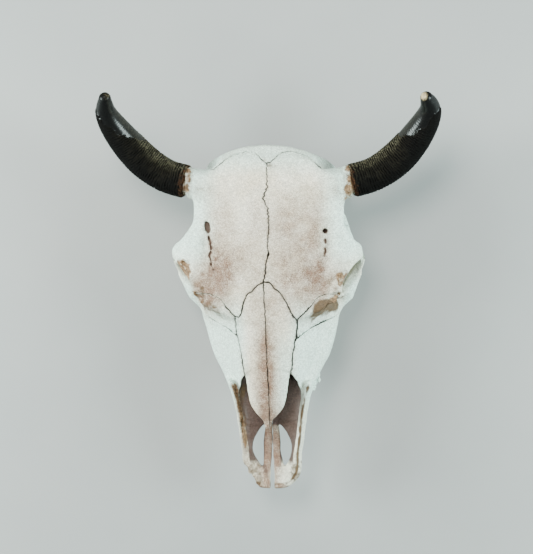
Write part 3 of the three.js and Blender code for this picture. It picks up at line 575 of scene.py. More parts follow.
def surfaceNet(values, low, cell):
    # closed quad mesh of the zero surface of a grid of distances
    inside = values < 0
    ends = (slice(0, -1), slice(1, None))
    filled = sum(inside[i, j, k].astype(np.uint8) for i in ends for j in ends for k in ends)
    active = (filled > 0) & (filled < 8)
    cells = np.argwhere(active)
    number = np.full(active.shape, -1, np.int32)
    number[active] = np.arange(len(cells))
    total = np.zeros((len(cells), 3))
    count = np.zeros(len(cells))
    at = lambda o: values[cells[:, 0] + o[0], cells[:, 1] + o[1], cells[:, 2] + o[2]]
    corner = {(i, j, k): at((i, j, k)) for i in (0, 1) for j in (0, 1) for k in (0, 1)}
    for o, a in corner.items():
        for d in range(3):
            if o[d]:
                continue
            b = corner[tuple(v + (n == d) for n, v in enumerate(o))]
            cross = (a < 0) != (b < 0)
            t = a[cross] / (a[cross] - b[cross])
            spot = np.tile(np.array(o, float), (len(t), 1))
            spot[:, d] = t
            total[cross] += spot
            count[cross] += 1
    verts = (cells + total / count[:, None]) * cell + np.array(low)
    quads = []
    for d in range(3):
        u, v = (d + 1) % 3, (d + 2) % 3
        first = [slice(1, -1)] * 3
        first[d] = slice(0, -1)
        second = list(first)
        second[d] = slice(1, None)
        p, q = inside[tuple(first)], inside[tuple(second)]
        nodes = np.argwhere(p != q)
        leaving = p[tuple(nodes.T)]
        nodes[:, u] += 1
        nodes[:, v] += 1
        ring = []
        for du, dv in ((-1, -1), (0, -1), (0, 0), (-1, 0)):
            n = nodes.copy()
            n[:, u] += du
            n[:, v] += dv
            ring.append(number[n[:, 0], n[:, 1], n[:, 2]])
        ring = np.stack(ring, 1)
        ring[~leaving] = ring[~leaving][:, ::-1]
        quads.append(ring)
    return verts, np.concatenate(quads)


def vertexNormals(verts, quads):
    a, b, c, d = (verts[quads[:, k]] for k in range(4))
    face = np.cross(c - a, d - b)
    normal = np.zeros_like(verts)
    for k in range(4):
        for axis in range(3):
            normal[:, axis] += np.bincount(quads[:, k], face[:, axis], len(verts))
    return normal / np.maximum(np.linalg.norm(normal, axis=1), 1e-9)[:, None]


def toWorld(verts):
    place = np.array(restPlace)
    return verts @ place[:3, :3].T + place[:3, 3]


def addObject(name, data):
    made = bpy.data.objects.new(name, data)
    bpy.context.scene.collection.objects.link(made)
    return made


def printSize(piece):
    print(" ", piece.name, len(piece.data.polygons) * 2, "triangles")


def makeMesh(name, verts, quads, material, attributes):
    # verts in millimetres in the skull's frame
    mesh = bpy.data.meshes.new(name)
    mesh.vertices.add(len(verts))
    mesh.vertices.foreach_set("co", toWorld(verts).astype(np.float32).ravel())
    mesh.loops.add(quads.size)
    mesh.loops.foreach_set("vertex_index", quads.astype(np.int32).ravel())
    mesh.polygons.add(len(quads))
    mesh.polygons.foreach_set("loop_start", np.arange(0, quads.size, 4, dtype=np.int32))
    for key, data in attributes.items():
        mesh.attributes.new(key, "FLOAT", "POINT").data.foreach_set("value", data.astype(np.float32))
    mesh.update()
    mesh.shade_smooth()
    mesh.materials.append(material)
    return addObject(name, mesh)


def largerParts(verts, quads, least):
    # drops loose crumbs with fewer points than the given number
    label = np.arange(len(verts))
    while True:
        low = label[quads].min(1)
        new = label.copy()
        for k in range(4):
            np.minimum.at(new, quads[:, k], low)
        new = new[new]
        if (new == label).all():
            break
        label = new
    kept = np.bincount(label, minlength=len(verts))[label] >= least
    number = np.cumsum(kept) - 1
    return verts[kept], number[quads[kept[quads[:, 0]]]]


print("shaping the bone")
cell = bone["cell"]
halfCount = 110
gridX = cell * np.arange(-halfCount, halfCount + 1)
gridY = np.arange(-314, 194, cell)
gridZ = np.arange(-192, 21, cell)
rowZ = gridZ[None, :]
halfX = gridX[halfCount:, None]
nape = outlineDistance(napeOutline, halfX, rowZ)
field = np.empty((len(gridX), len(gridY), len(gridZ)), np.float32)
for row, y in enumerate(gridY):
    shape, top, bridge = skullRow(y, halfX, rowZ, nape)
    shape = np.concatenate([shape[:0:-1], shape])
    top = np.concatenate([top[:0:-1], top])
    field[:, row] = noseRow(y, gridX[:, None], rowZ, shape, top, bridge)


def seamShare(x, y, z):
    # how open and dark a suture shows: most along the face, least below
    edge = np.abs(outlineDistance(nasalEdge, x, y))
    face = ramp(z, -62, -45)
    patchy = 0.5 * roughness(x, y, 0, 9, 1) + 0.35 * roughness(x, y, 0, 4, 4)
    middle = ramp(-np.abs(x - midLine(y)), -9, -6) * mix(1.0, 0.45, ramp(y, 122, 140))
    middle = middle * mix(1.0, 0.75, ramp(-y, 12, 30))
    nasal = ramp(-edge, -6, -3) * mix(1.0, np.where(x > 0, 0.8, 0.4), ramp(-y, 62, 72))
    nasal = (nasal + 0.5 * blob(np.abs(x), y, 42, -128, 10, 18)) * ramp(y, -142, -136)
    eye = blob(np.abs(x), y, 50, -49, 15, 15) * np.where(x > 0, 1.3, 0.9)
    low = np.where(x > 0, 0.6, 0.2) * blob(np.abs(x), y, 72, -66, 24, 10)
    crown = 0.55 * blob(x, y, 2, 166, 18, 12) + 0.5 * blob(np.abs(x), y, 74, 160, 14, 12)
    share = np.maximum.reduce([middle, nasal, eye, low, crown, 0.02 + 0 * x])
    return np.clip(share * (1 + patchy * (1.15 - share)) * face, 0, 1)


def boneAttributes(verts, normals, own):
    # what the bone's material reads at each point: seam and crack are distances in mm, the rest are masks
    x, y, z = verts.T
    a = np.abs(x)
    patch, flecks = roughness(x, y, z, 22, 3), roughness(x, y, z, 7, 8)
    up = ramp(normals[:, 2], 0.15, 0.6)
    streak = bump(x, -1.5 + 0.01 * y, 16 + 4 * patch) * ramp(-y, -15, 90) * mix(0.5, 1.0, ramp(-y, 60, 110))
    # tan stain with painted shade on the middle of the forehead, darker than the side-lit rims; only faces
    # that look up get it
    foreheadTanAndShade = ramp(y, -90, -10) * ramp(-y, -150, -70) * ramp(-a, -100, -66) * (0.7 + 0.16 * patch)
    # painted highlights: two pale ridges on the forehead where the tan is taken away
    paintedRidgeHighlight = 0.85 * blob(x, y, -36, 92, 15, 40) + 0.8 * blob(x, y, -38, -30, 15, 34)
    foreheadTanAndShade = foreheadTanAndShade * np.where(x > 0, 1.12, 1) * (1 - 0.35 * bump(a, 0, 16) - paintedRidgeHighlight)
    side = 1.5 * blob(x, y, -93, -20, 19, 28) + 0.7 * blob(x, y, -70, 2, 22, 30)
    side = side + 0.75 * blob(x, y, 78, -2, 30, 30) + 0.55 * blob(a, y, 98, 122, 20, 14)
    side = side * (1 + 0.3 * flecks)
    # tan mask: real tan stains, with painted shade on the forehead middle and round the cracks
    tan = np.maximum.reduce([
        np.clip(1.15 * streak + 0.85 * foreheadTanAndShade + 0.75 * side + 0.1 * flecks, 0, 1) * up,
        0.6 * ramp(a, 102, 112) * bump(y, 135, 30),
        1.1 * ramp(-y, 222, 230) * ramp(-a, -16, -12) * ramp(y, -292, -270),
        (0.8 + 0.3 * flecks) * ramp(-y + 3 * flecks + 2 * patch, 299, 304) * ramp(-a, -27, -22),
        0.75 * (1 + 0.4 * flecks) * bump(x, -38, 9) * ramp(-y, 215, 240),
        0.2 * (1 + flecks) * ramp(-y, 160, 200) * up,
    ])
    # painted light: the mint tint of the side lamps, laid on the orbit rims, face sides, flanks and back of
    # the skull
    cool = ramp(a, 60, 104) * ramp(y, -5, 50) + ramp(-y, 10, 80) * ramp(a, 24, 46) + 0.8 * ramp(y, 135, 172)
    cool = cool + ramp(-y, -20, 20) * ramp(a, 96, 120) + 0.7 * bump(x, 23, 12) * ramp(-y, 55, 120)
    cool = cool * mix(1.0, 0.35, ramp(-y, 160, 215))
    # rust-coloured crust of the orbit rims, the right edge of the snout and the horn burrs
    ochre = np.zeros(len(x))
    for (cx, cy, cz), size in ochreSpots:
        far = np.sqrt((x - cx) ** 2 + (y - cy) ** 2 + (z - cz) ** 2)
        ochre = np.maximum(ochre, ramp(-far + 8 * patch + 6 * flecks, -size, -size * 0.3))
    fibres = roughness(x + 0.6 * y, 0.3 * (y - x), 0.3 * z, 2.6, 6)
    ochre = ochre * (0.85 + 0.55 * fibres)
    snout = outlineDistance(snoutPlan, a, y)
    rod = bump(snout + flecks, np.where(x > 0, -4.0, -6.2), np.where(x > 0, 2.7, 3.6)) * ramp(-y, 146, 160)
    rod = rod * (1.1 + 0.3 * patch + 0.45 * flecks)
    olive = np.where(x > 0, 0.8 * rod * ramp(y, -312, -296), 0)
    tips = ramp(-y, 258, 276) * ramp(a, np.where(x > 0, 20, 10), np.where(x > 0, 32, 20))
    olive = np.maximum(olive, np.clip(tips * (0.42 + 0.4 * patch + 0.5 * flecks), 0, 0.52))
    rod = np.where(x > 0, 0, rod * ramp(y, -262, -236))
    olive = np.maximum(olive, 0.9 * blob(x, y, -42.5, -167, 4.5, 13))
    burr = ramp(a + 3 * flecks, 105, 113) * bump(y, 137, 34)
    ochre = np.clip(np.maximum(np.maximum(ochre, rod), burr * (0.7 + 0.7 * flecks)), 0, 1)
    # dark stain of the tear bones, the snout tips and the crusts
    tear = ramp(-outlineDistance(lacrimalPlan, a, y) + 4 * patch + 2.5 * flecks, -2, 15)
    hollow = tear * np.where(x > 0, 1.15 * ramp(x, 40, 78), 0.62 * ramp(-x, 40, 80))
    hollow = hollow * ramp(z + 6 * patch, -84, -58)
    crusty = burr * (0.3 + 0.9 * roughness(x, y, z, 4, 2))
    crusty = crusty + 0.34 * blob(x, y, 2, 159, 17, 10) * (1 + flecks)
    smudge = 0.46 * blob(x, y, -95, -24, 18, 25) + 0.36 * blob(x, y, 90, -12, 17, 17)
    crusty = np.maximum(crusty, smudge * (1 + 0.8 * flecks) * up)
    hollow = np.maximum(np.maximum(hollow * (0.95 + 0.2 * patch) * (1 - 0.75 * ochre), olive), crusty)
    # the material fills the cracks and pits with the dark hole colour, dark stain with painted shade; the
    # tan round the cracks is painted shade
    crack = np.where(z > foreheadTop(a, y) - 6, crackDistance(x, y), 9)
    tan = np.maximum(tan, (0.6 + 0.3 * flecks) * ramp(-crack, -8, 0))
    depth = foreheadTop(a, y) - z
    for pit in pits:
        far = pitDistance(x, y, *pit[:-1])
        crack = np.minimum(crack, np.where((far < 3) & (depth > -2), np.maximum(far - 0.8, 1.2 - depth), 9))
    # inside of the nose under the nasal bones: its dark mauve colour, with painted shade
    below = bridgeLine(y) - bone["nasalCurve"] * x * x - z
    inner = ramp(below, 7, 12) * ramp(hollowLine(y) + 7 - a, 0, 5) * ramp(-y, 20, 45) * ramp(z, -99, -96)
    wallEdge = np.where(x > 0, 9.0, 7.0)
    inner = inner * mix(1.0, ramp(-snout - wallEdge, 0, 2), ramp(-y, 150, 166)) * ramp(y, -284, -258)
    inner = inner * mix(1.0, mix(0.4, 1.0, ramp(a, 11, 13)), ramp(-y, 210, 220))
    return {
        "seam": -own, "open": seamShare(x, y, z), "crack": crack, "tan": tan, "cool": np.clip(cool, 0, 1),
        "ochre": ochre, "hollow": np.clip(hollow, 0, 1), "inner": inner,
        "under": ramp(-normals[:, 2], -0.1, 0.7) * ramp(-z, 30, 70),
    }


def sample(grid, spot):
    # value of a grid of distances at spots measured from its first corner
    at = np.clip((spot / cell).astype(int), 0, np.array(grid.shape) - 2)
    part = spot / cell - at
    total = 0
    for i, j, k in np.ndindex(2, 2, 2):
        share = np.abs(1 - i - part[:, 0]) * np.abs(1 - j - part[:, 1]) * np.abs(1 - k - part[:, 2])
        total = total + share * grid[at[:, 0] + i, at[:, 1] + j, at[:, 2] + k]
    return total


def makeBone(kind, side, word, material):
    low, high = reach[kind]
    if side < 0:
        low, high = (-high[0], *low[1:]), (-low[0], *high[1:])
    low, high = (low[0] - swayRoom, *low[1:]), (high[0] + swayRoom, *high[1:])
    spans = [slice(*np.searchsorted(g, (low[d], high[d]))) for d, g in enumerate((gridX, gridY, gridZ))]
    x, y, z = gridX[spans[0], None, None], gridY[None, spans[1], None], gridZ[None, None, spans[2]]
    ground, mid = ownGround(x + sway(y), y, z)
    own = ground[kind]
    for name, other in ground.items():
        if name == kind:
            break
        own = np.maximum(own, -other)
    if side:
        own = np.maximum(own, -side * mid)
    block = field[tuple(spans)]
    own = np.broadcast_to(own, block.shape)
    values = overlap(block, own + bone["sutureGap"], bone["sutureRound"])
    for faces in (values, values.transpose(1, 0, 2), values.transpose(2, 0, 1)):
        faces[[0, -1]] = np.maximum(faces[[0, -1]], outsideLeast)
    start = np.array((gridX[spans[0]][0], gridY[spans[1]][0], gridZ[spans[2]][0]))
    verts, quads = surfaceNet(values, start, cell)
    verts, quads = largerParts(verts, quads, bone["leastPoints"])
    seam = sample(own, verts - start)
    # a suture that hardly shows is closed up: its rounded edges go back out to the whole bone's surface
    healed = 1 - seamShare(verts[:, 0] + sway(verts[:, 1]), verts[:, 1], verts[:, 2])
    depth = sample(block, verts - start)
    steps = np.eye(3) * cell * 0.5
    slope = [sample(block, verts - start + step) - sample(block, verts - start - step) for step in steps]
    slope = np.stack(slope, 1)
    slope = slope / np.maximum(np.linalg.norm(slope, axis=1), 1e-3)[:, None]
    lift = np.where(depth > -1.5 * cell, -depth, 0) * healed * ramp(seam, -2.2, -1.2)
    verts = verts + slope * np.maximum(lift, 0)[:, None]
    verts[:, 0] += sway(verts[:, 1])
    normals = vertexNormals(verts, quads)
    given = boneAttributes(verts, normals, seam)
    bumps = 0.35 * roughness(*verts.T, 13, 1) + 0.22 * roughness(*verts.T, 4.5, 2)
    bumps = bumps + (0.5 * roughness(*verts.T, 3.4, 3) - 0.2) * given["ochre"]
    verts = verts + normals * (bumps - 0.25)[:, None]
    verts[:, 2] = np.maximum(verts[:, 2], restLevel(verts[:, 1]))
    return makeMesh(kind + word.capitalize(), verts, quads, material, given)


# Shader and geometry node helpers.
class Wire:
    # a value in a node tree: arithmetic with it adds Math nodes
    def __init__(self, tree, socket):
        self.tree, self.socket = tree, socket

    def math(self, operation, other=0.0, turned=False):
        pair = {0: other, 1: self} if turned else {0: self, 1: other}
        return wire(self.tree, "ShaderNodeMath", pair, operation=operation)

    def __add__(self, other):
        return self.math("ADD", other)

    def __sub__(self, other):
        return self.math("SUBTRACT", other)

    def __rsub__(self, other):
        return self.math("SUBTRACT", other, True)

    def __mul__(self, other):
        return self.math("MULTIPLY", other)

    def __truediv__(self, other):
        return self.math("DIVIDE", other)


def addNode(tree, kind, sockets=None, **settings):
    made = tree.nodes.new(kind)
    for key, value in settings.items():
        setattr(made, key, value)
    for key, value in (sockets or {}).items():
        if isinstance(value, Wire):
            tree.links.new(value.socket, made.inputs[key])
        else:
            made.inputs[key].default_value = value
    return made


def wire(tree, kind, sockets=None, key=0, **settings):
    return Wire(tree, addNode(tree, kind, sockets, **settings).outputs[key])


def wires(tree, node):
    return {socket.name: Wire(tree, socket) for socket in node.outputs}


def spread(value, low, high, outLow=0.0, outHigh=1.0):
    given = {"Value": value, "From Min": low, "From Max": high, "To Min": outLow, "To Max": outHigh}
    return wire(value.tree, "ShaderNodeMapRange", given, interpolation_type="SMOOTHSTEP")


def tint(share, a, b, how="MIX"):
    tree = (share if isinstance(share, Wire) else a).tree
    return wire(tree, "ShaderNodeMix", {0: share, 6: a, 7: b}, key=2, data_type="RGBA", blend_type=how)


def cloud(at, scale, detail=3.0, rough=0.55):
    given = {"Vector": at, "Scale": scale, "Detail": detail, "Roughness": rough}
    return wire(at.tree, "ShaderNodeTexNoise", given, key="Fac")


def newGroup(name, kind, inputs, outputs):
    tree = bpy.data.node_groups.new(name, kind)
    for label, sort, *value in inputs:
        socket = tree.interface.new_socket(label, in_out="INPUT", socket_type="NodeSocket" + sort)
        if value:
            socket.default_value = value[0]
    for label, sort in outputs:
        tree.interface.new_socket(label, in_out="OUTPUT", socket_type="NodeSocket" + sort)
    return tree, wires(tree, tree.nodes.new("NodeGroupInput")), tree.nodes.new("NodeGroupOutput")


def porousGroup():
    # fine speckle and pits of dry bone
    tree, given, out = newGroup(
        "porousGrain", "ShaderNodeTree",
        [
            ("Position", "Vector"), ("Pore Scale", "Float", 620.0), ("Pore Share", "Float", 0.5),
            ("Mottle Scale", "Float", 70.0),
        ],
        [("Speckle", "Float"), ("Pores", "Float"), ("Mottle", "Float"), ("Height", "Float")],
    )
    at, scale = given["Position"], given["Pore Scale"]
    cells = addNode(tree, "ShaderNodeTexVoronoi", {"Vector": at, "Scale": scale, "Randomness": 1.0})
    cells = wires(tree, cells)
    chance = wire(tree, "ShaderNodeSeparateColor", {0: cells["Color"]})
    size = given["Pore Share"] * chance
    pores = 1.0 - spread(cells["Distance"], size * 0.25, size)
    fine = cloud(at, scale * 1.5, 4.0, 0.7)
    speckle = spread(fine, 0.34, 0.68)
    mottle = spread(cloud(at, given["Mottle Scale"], 5.0, 0.6), 0.3, 0.7)
    height = fine * 0.8 - pores * 0.9
    for label, value in (("Speckle", speckle), ("Pores", pores), ("Mottle", mottle), ("Height", height)):
        tree.links.new(value.socket, out.inputs[label])
    return tree


def grimeAndShadeGroup():
    # uneven dirt and painted shade that gather where a mask says
    tree, given, out = newGroup(
        "grimeAndShade", "ShaderNodeTree",
        [("Position", "Vector"), ("Mask", "Float"), ("Scale", "Float", 200.0), ("Break-up", "Float", 0.6)],
        [("Dirt And Shade", "Float")],
    )
    uneven = cloud(given["Position"], given["Scale"], 4.0, 0.65)
    lift = (uneven - 0.5) * given["Break-up"]
    dirt = given["Mask"] + lift * 2.0
    held = spread(dirt, 0.25, 0.75) * spread(given["Mask"], 0.0, 0.2)
    tree.links.new(held.socket, out.inputs["Dirt And Shade"])
    return tree


def placeGroup(tree, group, sockets):
    return wires(tree, addNode(tree, "ShaderNodeGroup", sockets, node_tree=group))


def startMaterial(name):
    material = bpy.data.materials.new(name)
    material.use_nodes = True
    tree = material.node_tree
    shader = tree.nodes["Principled BSDF"]
    at = wire(tree, "ShaderNodeTexCoord", key="Object")
    read = lambda key: wire(tree, "ShaderNodeAttribute", attribute_name=key, key="Fac")
    return material, tree, shader, at, read


def finishMaterial(tree, shader, colour, rough, height, depth):
    relief = wire(tree, "ShaderNodeBump", {"Height": height, "Distance": depth, "Strength": 0.8})
    for key, value in (("Base Color", colour), ("Roughness", rough), ("Normal", relief)):
        tree.links.new(value.socket, shader.inputs[key])


boneLook = {
    "pale": (0.88, 0.82, 0.69, 1),
    "cream": (0.72, 0.60, 0.42, 1),
    # tan stain, also used as painted shade on the forehead middle and round the cracks
    "tan": (0.22, 0.12, 0.076, 1),
    "stain": (0.105, 0.058, 0.023, 1),
    # mint colour of the painted light on the rims and flanks
    "cool": (0.70, 0.92, 0.84, 1),
    "ochre": (0.30, 0.165, 0.072, 1),
    "brown": (0.10, 0.052, 0.024, 1),
    # dark mauve of the nose cavity, with painted shade
    "mauveAndShade": (0.072, 0.037, 0.029, 1),
    # dark stain with painted shade inside the cracks and pits
    "hole": (0.085, 0.046, 0.032, 1),
    "seam": (0.013, 0.008, 0.005, 1),
    "poreScale": 620.0,
    "widePoreScale": 210.0,
    "roughness": (0.56, 0.80),
    "specular": 0.35,
    "relief": 0.0005,  # metres
}
# colour layers in the order in which they lie, rust crust, a cream tint on faces that look down, the nose
# cavity's mauve with painted shade, and stains: mask, scale, break-up, strength, colour
dirtAndShadeLayers = [
    ("ochre", 420.0, 0.7, 0.93, "ochre"), ("under", 45.0, 0.6, 0.35, "cream"),
    ("inner", 160.0, 0.25, 0.97, "mauveAndShade"), ("hollow", 160.0, 0.5, 0.97, "stain"),
]


def boneMaterial():
    material, tree, shader, at, read = startMaterial("weatheredBone")
    given = {"Position": at, "Pore Scale": boneLook["poreScale"], "Pore Share": 0.45}
    grain = placeGroup(tree, porous, given)
    scale = boneLook["widePoreScale"]
    given = {"Position": at, "Pore Scale": scale, "Pore Share": 0.34, "Mottle Scale": 26.0}
    wide = placeGroup(tree, porous, given)
    colour = tint(wide["Mottle"] * 0.55, boneLook["pale"], boneLook["cream"])
    # painted light: mint tint laid over the rims and flanks
    colour = tint(read("cool") * 0.8, colour, boneLook["cool"])
    # tan stain, with painted shade on the forehead middle and round the cracks
    tan = read("tan") * spread(grain["Mottle"], -0.4, 1.0, 0.72, 1.05)
    tan = tan * spread(grain["Speckle"], 0.0, 1.0, 1.2, 0.75)
    colour = tint(tan, colour, boneLook["tan"])
    for mask, scale, broken, share, look in dirtAndShadeLayers:
        given = {"Position": at, "Mask": read(mask), "Scale": scale, "Break-up": broken}
        colour = tint(placeGroup(tree, grimeAndShade, given)["Dirt And Shade"] * share, colour, boneLook[look])
    burnt = spread(cloud(at, 280.0, 5.0, 0.7), 0.42, 0.58) * (read("ochre") * 0.8)
    colour = tint(burnt, colour, boneLook["brown"])
    fleck = spread(grain["Speckle"], 0.0, 1.0, 0.58, 1.1)
    fleck = fleck * spread(wide["Speckle"], 0.0, 1.0, 0.77, 1.07)
    fleck = wire(tree, "ShaderNodeCombineColor", {0: fleck, 1: fleck, 2: fleck})
    colour = tint(1.0, colour, fleck, "MULTIPLY")
    pores = grain["Pores"] * spread(wide["Mottle"], 0.2, 1.0, 0.15, 0.6)
    pores = pores.math("MAXIMUM", wide["Pores"] * spread(read("ochre"), 0.1, 0.6, 0.08, 0.8))
    colour = tint(pores, colour, boneLook["brown"])
    # cracks and pits filled dark brown: dark stain with painted shade
    wander = spread(cloud(at, 520.0, 4.0, 0.7), 0.3, 0.7, -0.55, 0.55)
    split = spread(read("crack") + wander * 1.6, -0.6, 0.9, 0.9, 0.0)
    colour = tint(split, colour, boneLook["hole"])
    width = spread(read("open"), 0.1, 1.0, 0.7, 1.5)
    close = spread((read("seam") + wander) / width, 0.2, 1.0, 1.0, 0.0)
    close = close * spread(read("open"), 0.08, 0.55)
    stain = spread(read("seam"), 0.5, 4.5, 0.45, 0.0) * read("open")
    colour = tint(stain * grain["Mottle"], colour, boneLook["brown"])
    colour = tint(close * 0.96, colour, boneLook["seam"])
    rough = spread(grain["Mottle"], 0.0, 1.0, *boneLook["roughness"])
    crust = cloud(at, 420.0, 5.0, 0.7) * (read("ochre") * 2.5)
    height = grain["Height"] + wide["Height"] * 0.8
    finishMaterial(tree, shader, colour, rough, height + crust, boneLook["relief"])
    shader.inputs["Specular IOR Level"].default_value = boneLook["specular"]
    return material


porous, grimeAndShade = porousGroup(), grimeAndShadeGroup()
boneFinish = boneMaterial()

print("bones")
for kind in paired + ("occipital", "sphenoid"):
    for side, word in sides if kind in paired else ((0, ""),):
        piece = makeBone(kind, side, word, boneFinish)
        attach(piece, "root")
        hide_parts(stands.get(kind, kind + "_" + word))
        printSize(piece)

# Horn sheaths: a tube of changing girth along one curve, with rings, fibres and a worn layer.
horn = {
    "path": [
        (96, 130, -25), (118, 136, -27), (150, 146, -30), (182, 167, -22), (209, 197, -2), (226, 228, 30),
    ],
    "tip": {1: (218, 246, 62), -1: (222, 251, 62)},  # of the left and the right horn
    "reach": {1: 241.1, -1: 236.8},  # outside of the sheath from the midline, mm
    "pathReach": 241.5,
    "start": 21.0,
    "girth": [(0, 21.8), (4, 24.2), (30, 24.3), (70, 24.9), (112, 23.1), (142, 20), (168, 15.9), (188, 12)],
    "cap": 8,  # length of the rounded end
    "capGirth": (9.4, 8.6),
    "sides": 112,
    "stations": 300,
    "ringSpacing": 4.0,
    "ringDepth": 1.5,
    "layerDepth": 1.1,
    "layerEnd": 150.0,
    "tipPaleness": {1: 1.0, -1: 0.3},
    "seed": {1: 3.0, -1: 8.0},
}


def hornSpine(side):
    # centre line, girth and distance from the base, evenly spaced
    knots = np.array(horn["path"] + [horn["tip"][side]], float)
    knots = np.vstack([2 * knots[0] - knots[1], knots, 2 * knots[-1] - knots[-2]])
    dense = []
    for p0, p1, p2, p3 in zip(knots[:-3], knots[1:-2], knots[2:-1], knots[3:]):
        d0, d1, d2 = [np.linalg.norm(b - a) ** 0.5 for a, b in ((p0, p1), (p1, p2), (p2, p3))]
        m1 = ((p1 - p0) / d0 - (p2 - p0) / (d0 + d1) + (p2 - p1) / d1) * d1
        m2 = ((p2 - p1) / d1 - (p3 - p1) / (d1 + d2) + (p3 - p2) / d2) * d1
        t = np.linspace(0, 1, 80, endpoint=False)[:, None]
        dense.append(cubic(p1, p2, m1, m2, t))
    dense = np.vstack(dense + [knots[-2:-1]])
    length = np.concatenate([[0], np.cumsum(np.linalg.norm(np.diff(dense, axis=0), axis=1))])
    total = length[-1] - horn["start"]
    cap = horn["cap"]
    along = np.linspace(0, total - cap, horn["stations"])
    along = np.concatenate([along, total - cap * np.cos(np.linspace(0.15, 1.5, 14))])
    spine = np.stack([np.interp(along + horn["start"], length, dense[:, k]) for k in range(3)], 1)
    girth = through(horn["girth"] + list(zip((total - cap, total), horn["capGirth"])))(along)
    end = np.clip((along - (total - cap)) / cap, 0, 1)
    girth = girth * np.sqrt(np.maximum(1 - end * end, 0.0004))
    stretch = 1 + (horn["reach"][side] / horn["pathReach"] - 1) * ramp(spine[:, 0], knots[2][0], knots[5][0])
    spine[:, 0] *= stretch * side
    return spine, girth, along, total


def sheathGroup():
    tree, given, out = newGroup(
        "hornSheath", "GeometryNodeTree",
        [
            ("Geometry", "Geometry"), ("Sides", "Int", 96), ("Ring Spacing", "Float", 0.0033),
            ("Ring Depth", "Float", 0.0007), ("Layer Depth", "Float", 0.001), ("Layer End", "Float", 0.13),
            ("Inner Side", "Vector", (0.0, 1.0, 0.0)), ("Pale Side", "Vector", (0.0, -1.0, 0.0)),
            ("Tip Start", "Float", 0.19), ("Tip Paleness", "Float", 1.0), ("Seed", "Float"),
            ("Finish", "Material"),
        ],
        [("Geometry", "Geometry")],
    )
    attribute = "GeometryNodeInputNamedAttribute"
    named = lambda name: wire(tree, attribute, {"Name": name}, key="Attribute", data_type="FLOAT")
    dot = lambda a, b: wire(tree, "ShaderNodeVectorMath", {0: a, 1: b}, key="Value", operation="DOT_PRODUCT")
    curve = wire(tree, "GeometryNodeMeshToCurve", {"Mesh": given["Geometry"]})
    ring = wire(tree, "GeometryNodeCurvePrimitiveCircle", {"Resolution": given["Sides"], "Radius": 1.0})
    ends = {"Curve": curve, "Profile Curve": ring, "Scale": named("girth"), "Fill Caps": True}
    shaped = wire(tree, "GeometryNodeCurveToMesh", ends)
    along = named("along")
    at = wire(tree, "GeometryNodeInputPosition")
    normal = wire(tree, "GeometryNodeInputNormal")
    shift = wire(tree, "ShaderNodeCombineXYZ", {0: given["Seed"]})
    place = wire(tree, "ShaderNodeVectorMath", {0: at, 1: shift}, operation="ADD")
    wander = (cloud(place, 34.0, 3.0, 0.6) - 0.5) * 2.2 + cloud(place, 240.0, 2.0, 0.6) * 1.3
    count = along / given["Ring Spacing"] + wander
    wave = (count * math.pi).math("SINE").math("ABSOLUTE").math("POWER", 1.4)
    uneven = spread(cloud(place, 120.0, 3.0, 0.6), 0.3, 0.7, 0.25, 1.3)
    fade = spread(along, 0.12, 0.17, 1.0, 0.2)
    groove = (wave - 1.0) * (uneven * fade)
    facing = dot(normal, given["Inner Side"])
    edge = given["Layer End"] - facing * 0.05 + (cloud(place, 60.0, 4.0, 0.7) - 0.5) * 0.05
    worn = spread(along - edge, -0.0015, 0.003)
    drop = worn * (given["Layer Depth"] * -1.0)
    groove = groove * (1.0 - worn * 0.85)
    deep = groove * given["Ring Depth"] + drop
    move = wire(tree, "ShaderNodeVectorMath", {0: normal, "Scale": deep}, operation="SCALE")
    blunt = spread(along - given["Tip Start"], -0.006, 0.004)
    pale = blunt * spread(dot(normal, given["Pale Side"]), 0.1, 0.95) * given["Tip Paleness"]
    stored = {"worn": worn, "groove": groove, "pale": pale, "blunt": blunt, "inner": facing}
    for key, value in stored.items():
        kept = {"Geometry": shaped, "Name": key, "Value": value}
        shaped = wire(tree, "GeometryNodeStoreNamedAttribute", kept, data_type="FLOAT", domain="POINT")
    shaped = wire(tree, "GeometryNodeSetPosition", {"Geometry": shaped, "Offset": move})
    shaped = wire(tree, "GeometryNodeSetShadeSmooth", {"Geometry": shaped})
    shaped = wire(tree, "GeometryNodeRealizeInstances", {"Geometry": shaped})
    shaped = wire(tree, "GeometryNodeSetMaterial", {"Geometry": shaped, "Material": given["Finish"]})
    tree.links.new(shaped.socket, out.inputs["Geometry"])
    return tree


def grown(source, group, values, name):
    # runs a geometry tree once and keeps the result as a plain mesh
    modifier = source.modifiers.new("shape", "NODES")
    modifier.node_group = group
    for item in group.interface.items_tree:
        if item.item_type == "SOCKET" and item.in_out == "INPUT" and item.name in values:
            modifier[item.identifier] = values[item.name]
    bpy.context.view_layer.update()
    seen = source.evaluated_get(bpy.context.evaluated_depsgraph_get())
    mesh = bpy.data.meshes.new_from_object(seen)
    source.modifiers.remove(modifier)
    bpy.data.objects.remove(source)
    mesh.name = name
    return addObject(name, mesh)


hornLook = {
    "dark": (0.0014, 0.0012, 0.001, 1),
    # fibre streaks lit by a painted highlight
    "fibreAndHighlight": (0.020, 0.017, 0.010, 1),
    # pale dust with a painted highlight on the inner side
    "dustAndHighlight": (0.30, 0.28, 0.18, 1),
    "gloss": (0.0018, 0.002, 0.002, 1),
    "tip": (0.50, 0.40, 0.24, 1),
    "rust": (0.055, 0.024, 0.011, 1),
    "roughness": (0.85, 0.62),
    "coatRoughness": 0.25,
    "specular": 0.06,
    "relief": 0.0012,  # metres
}


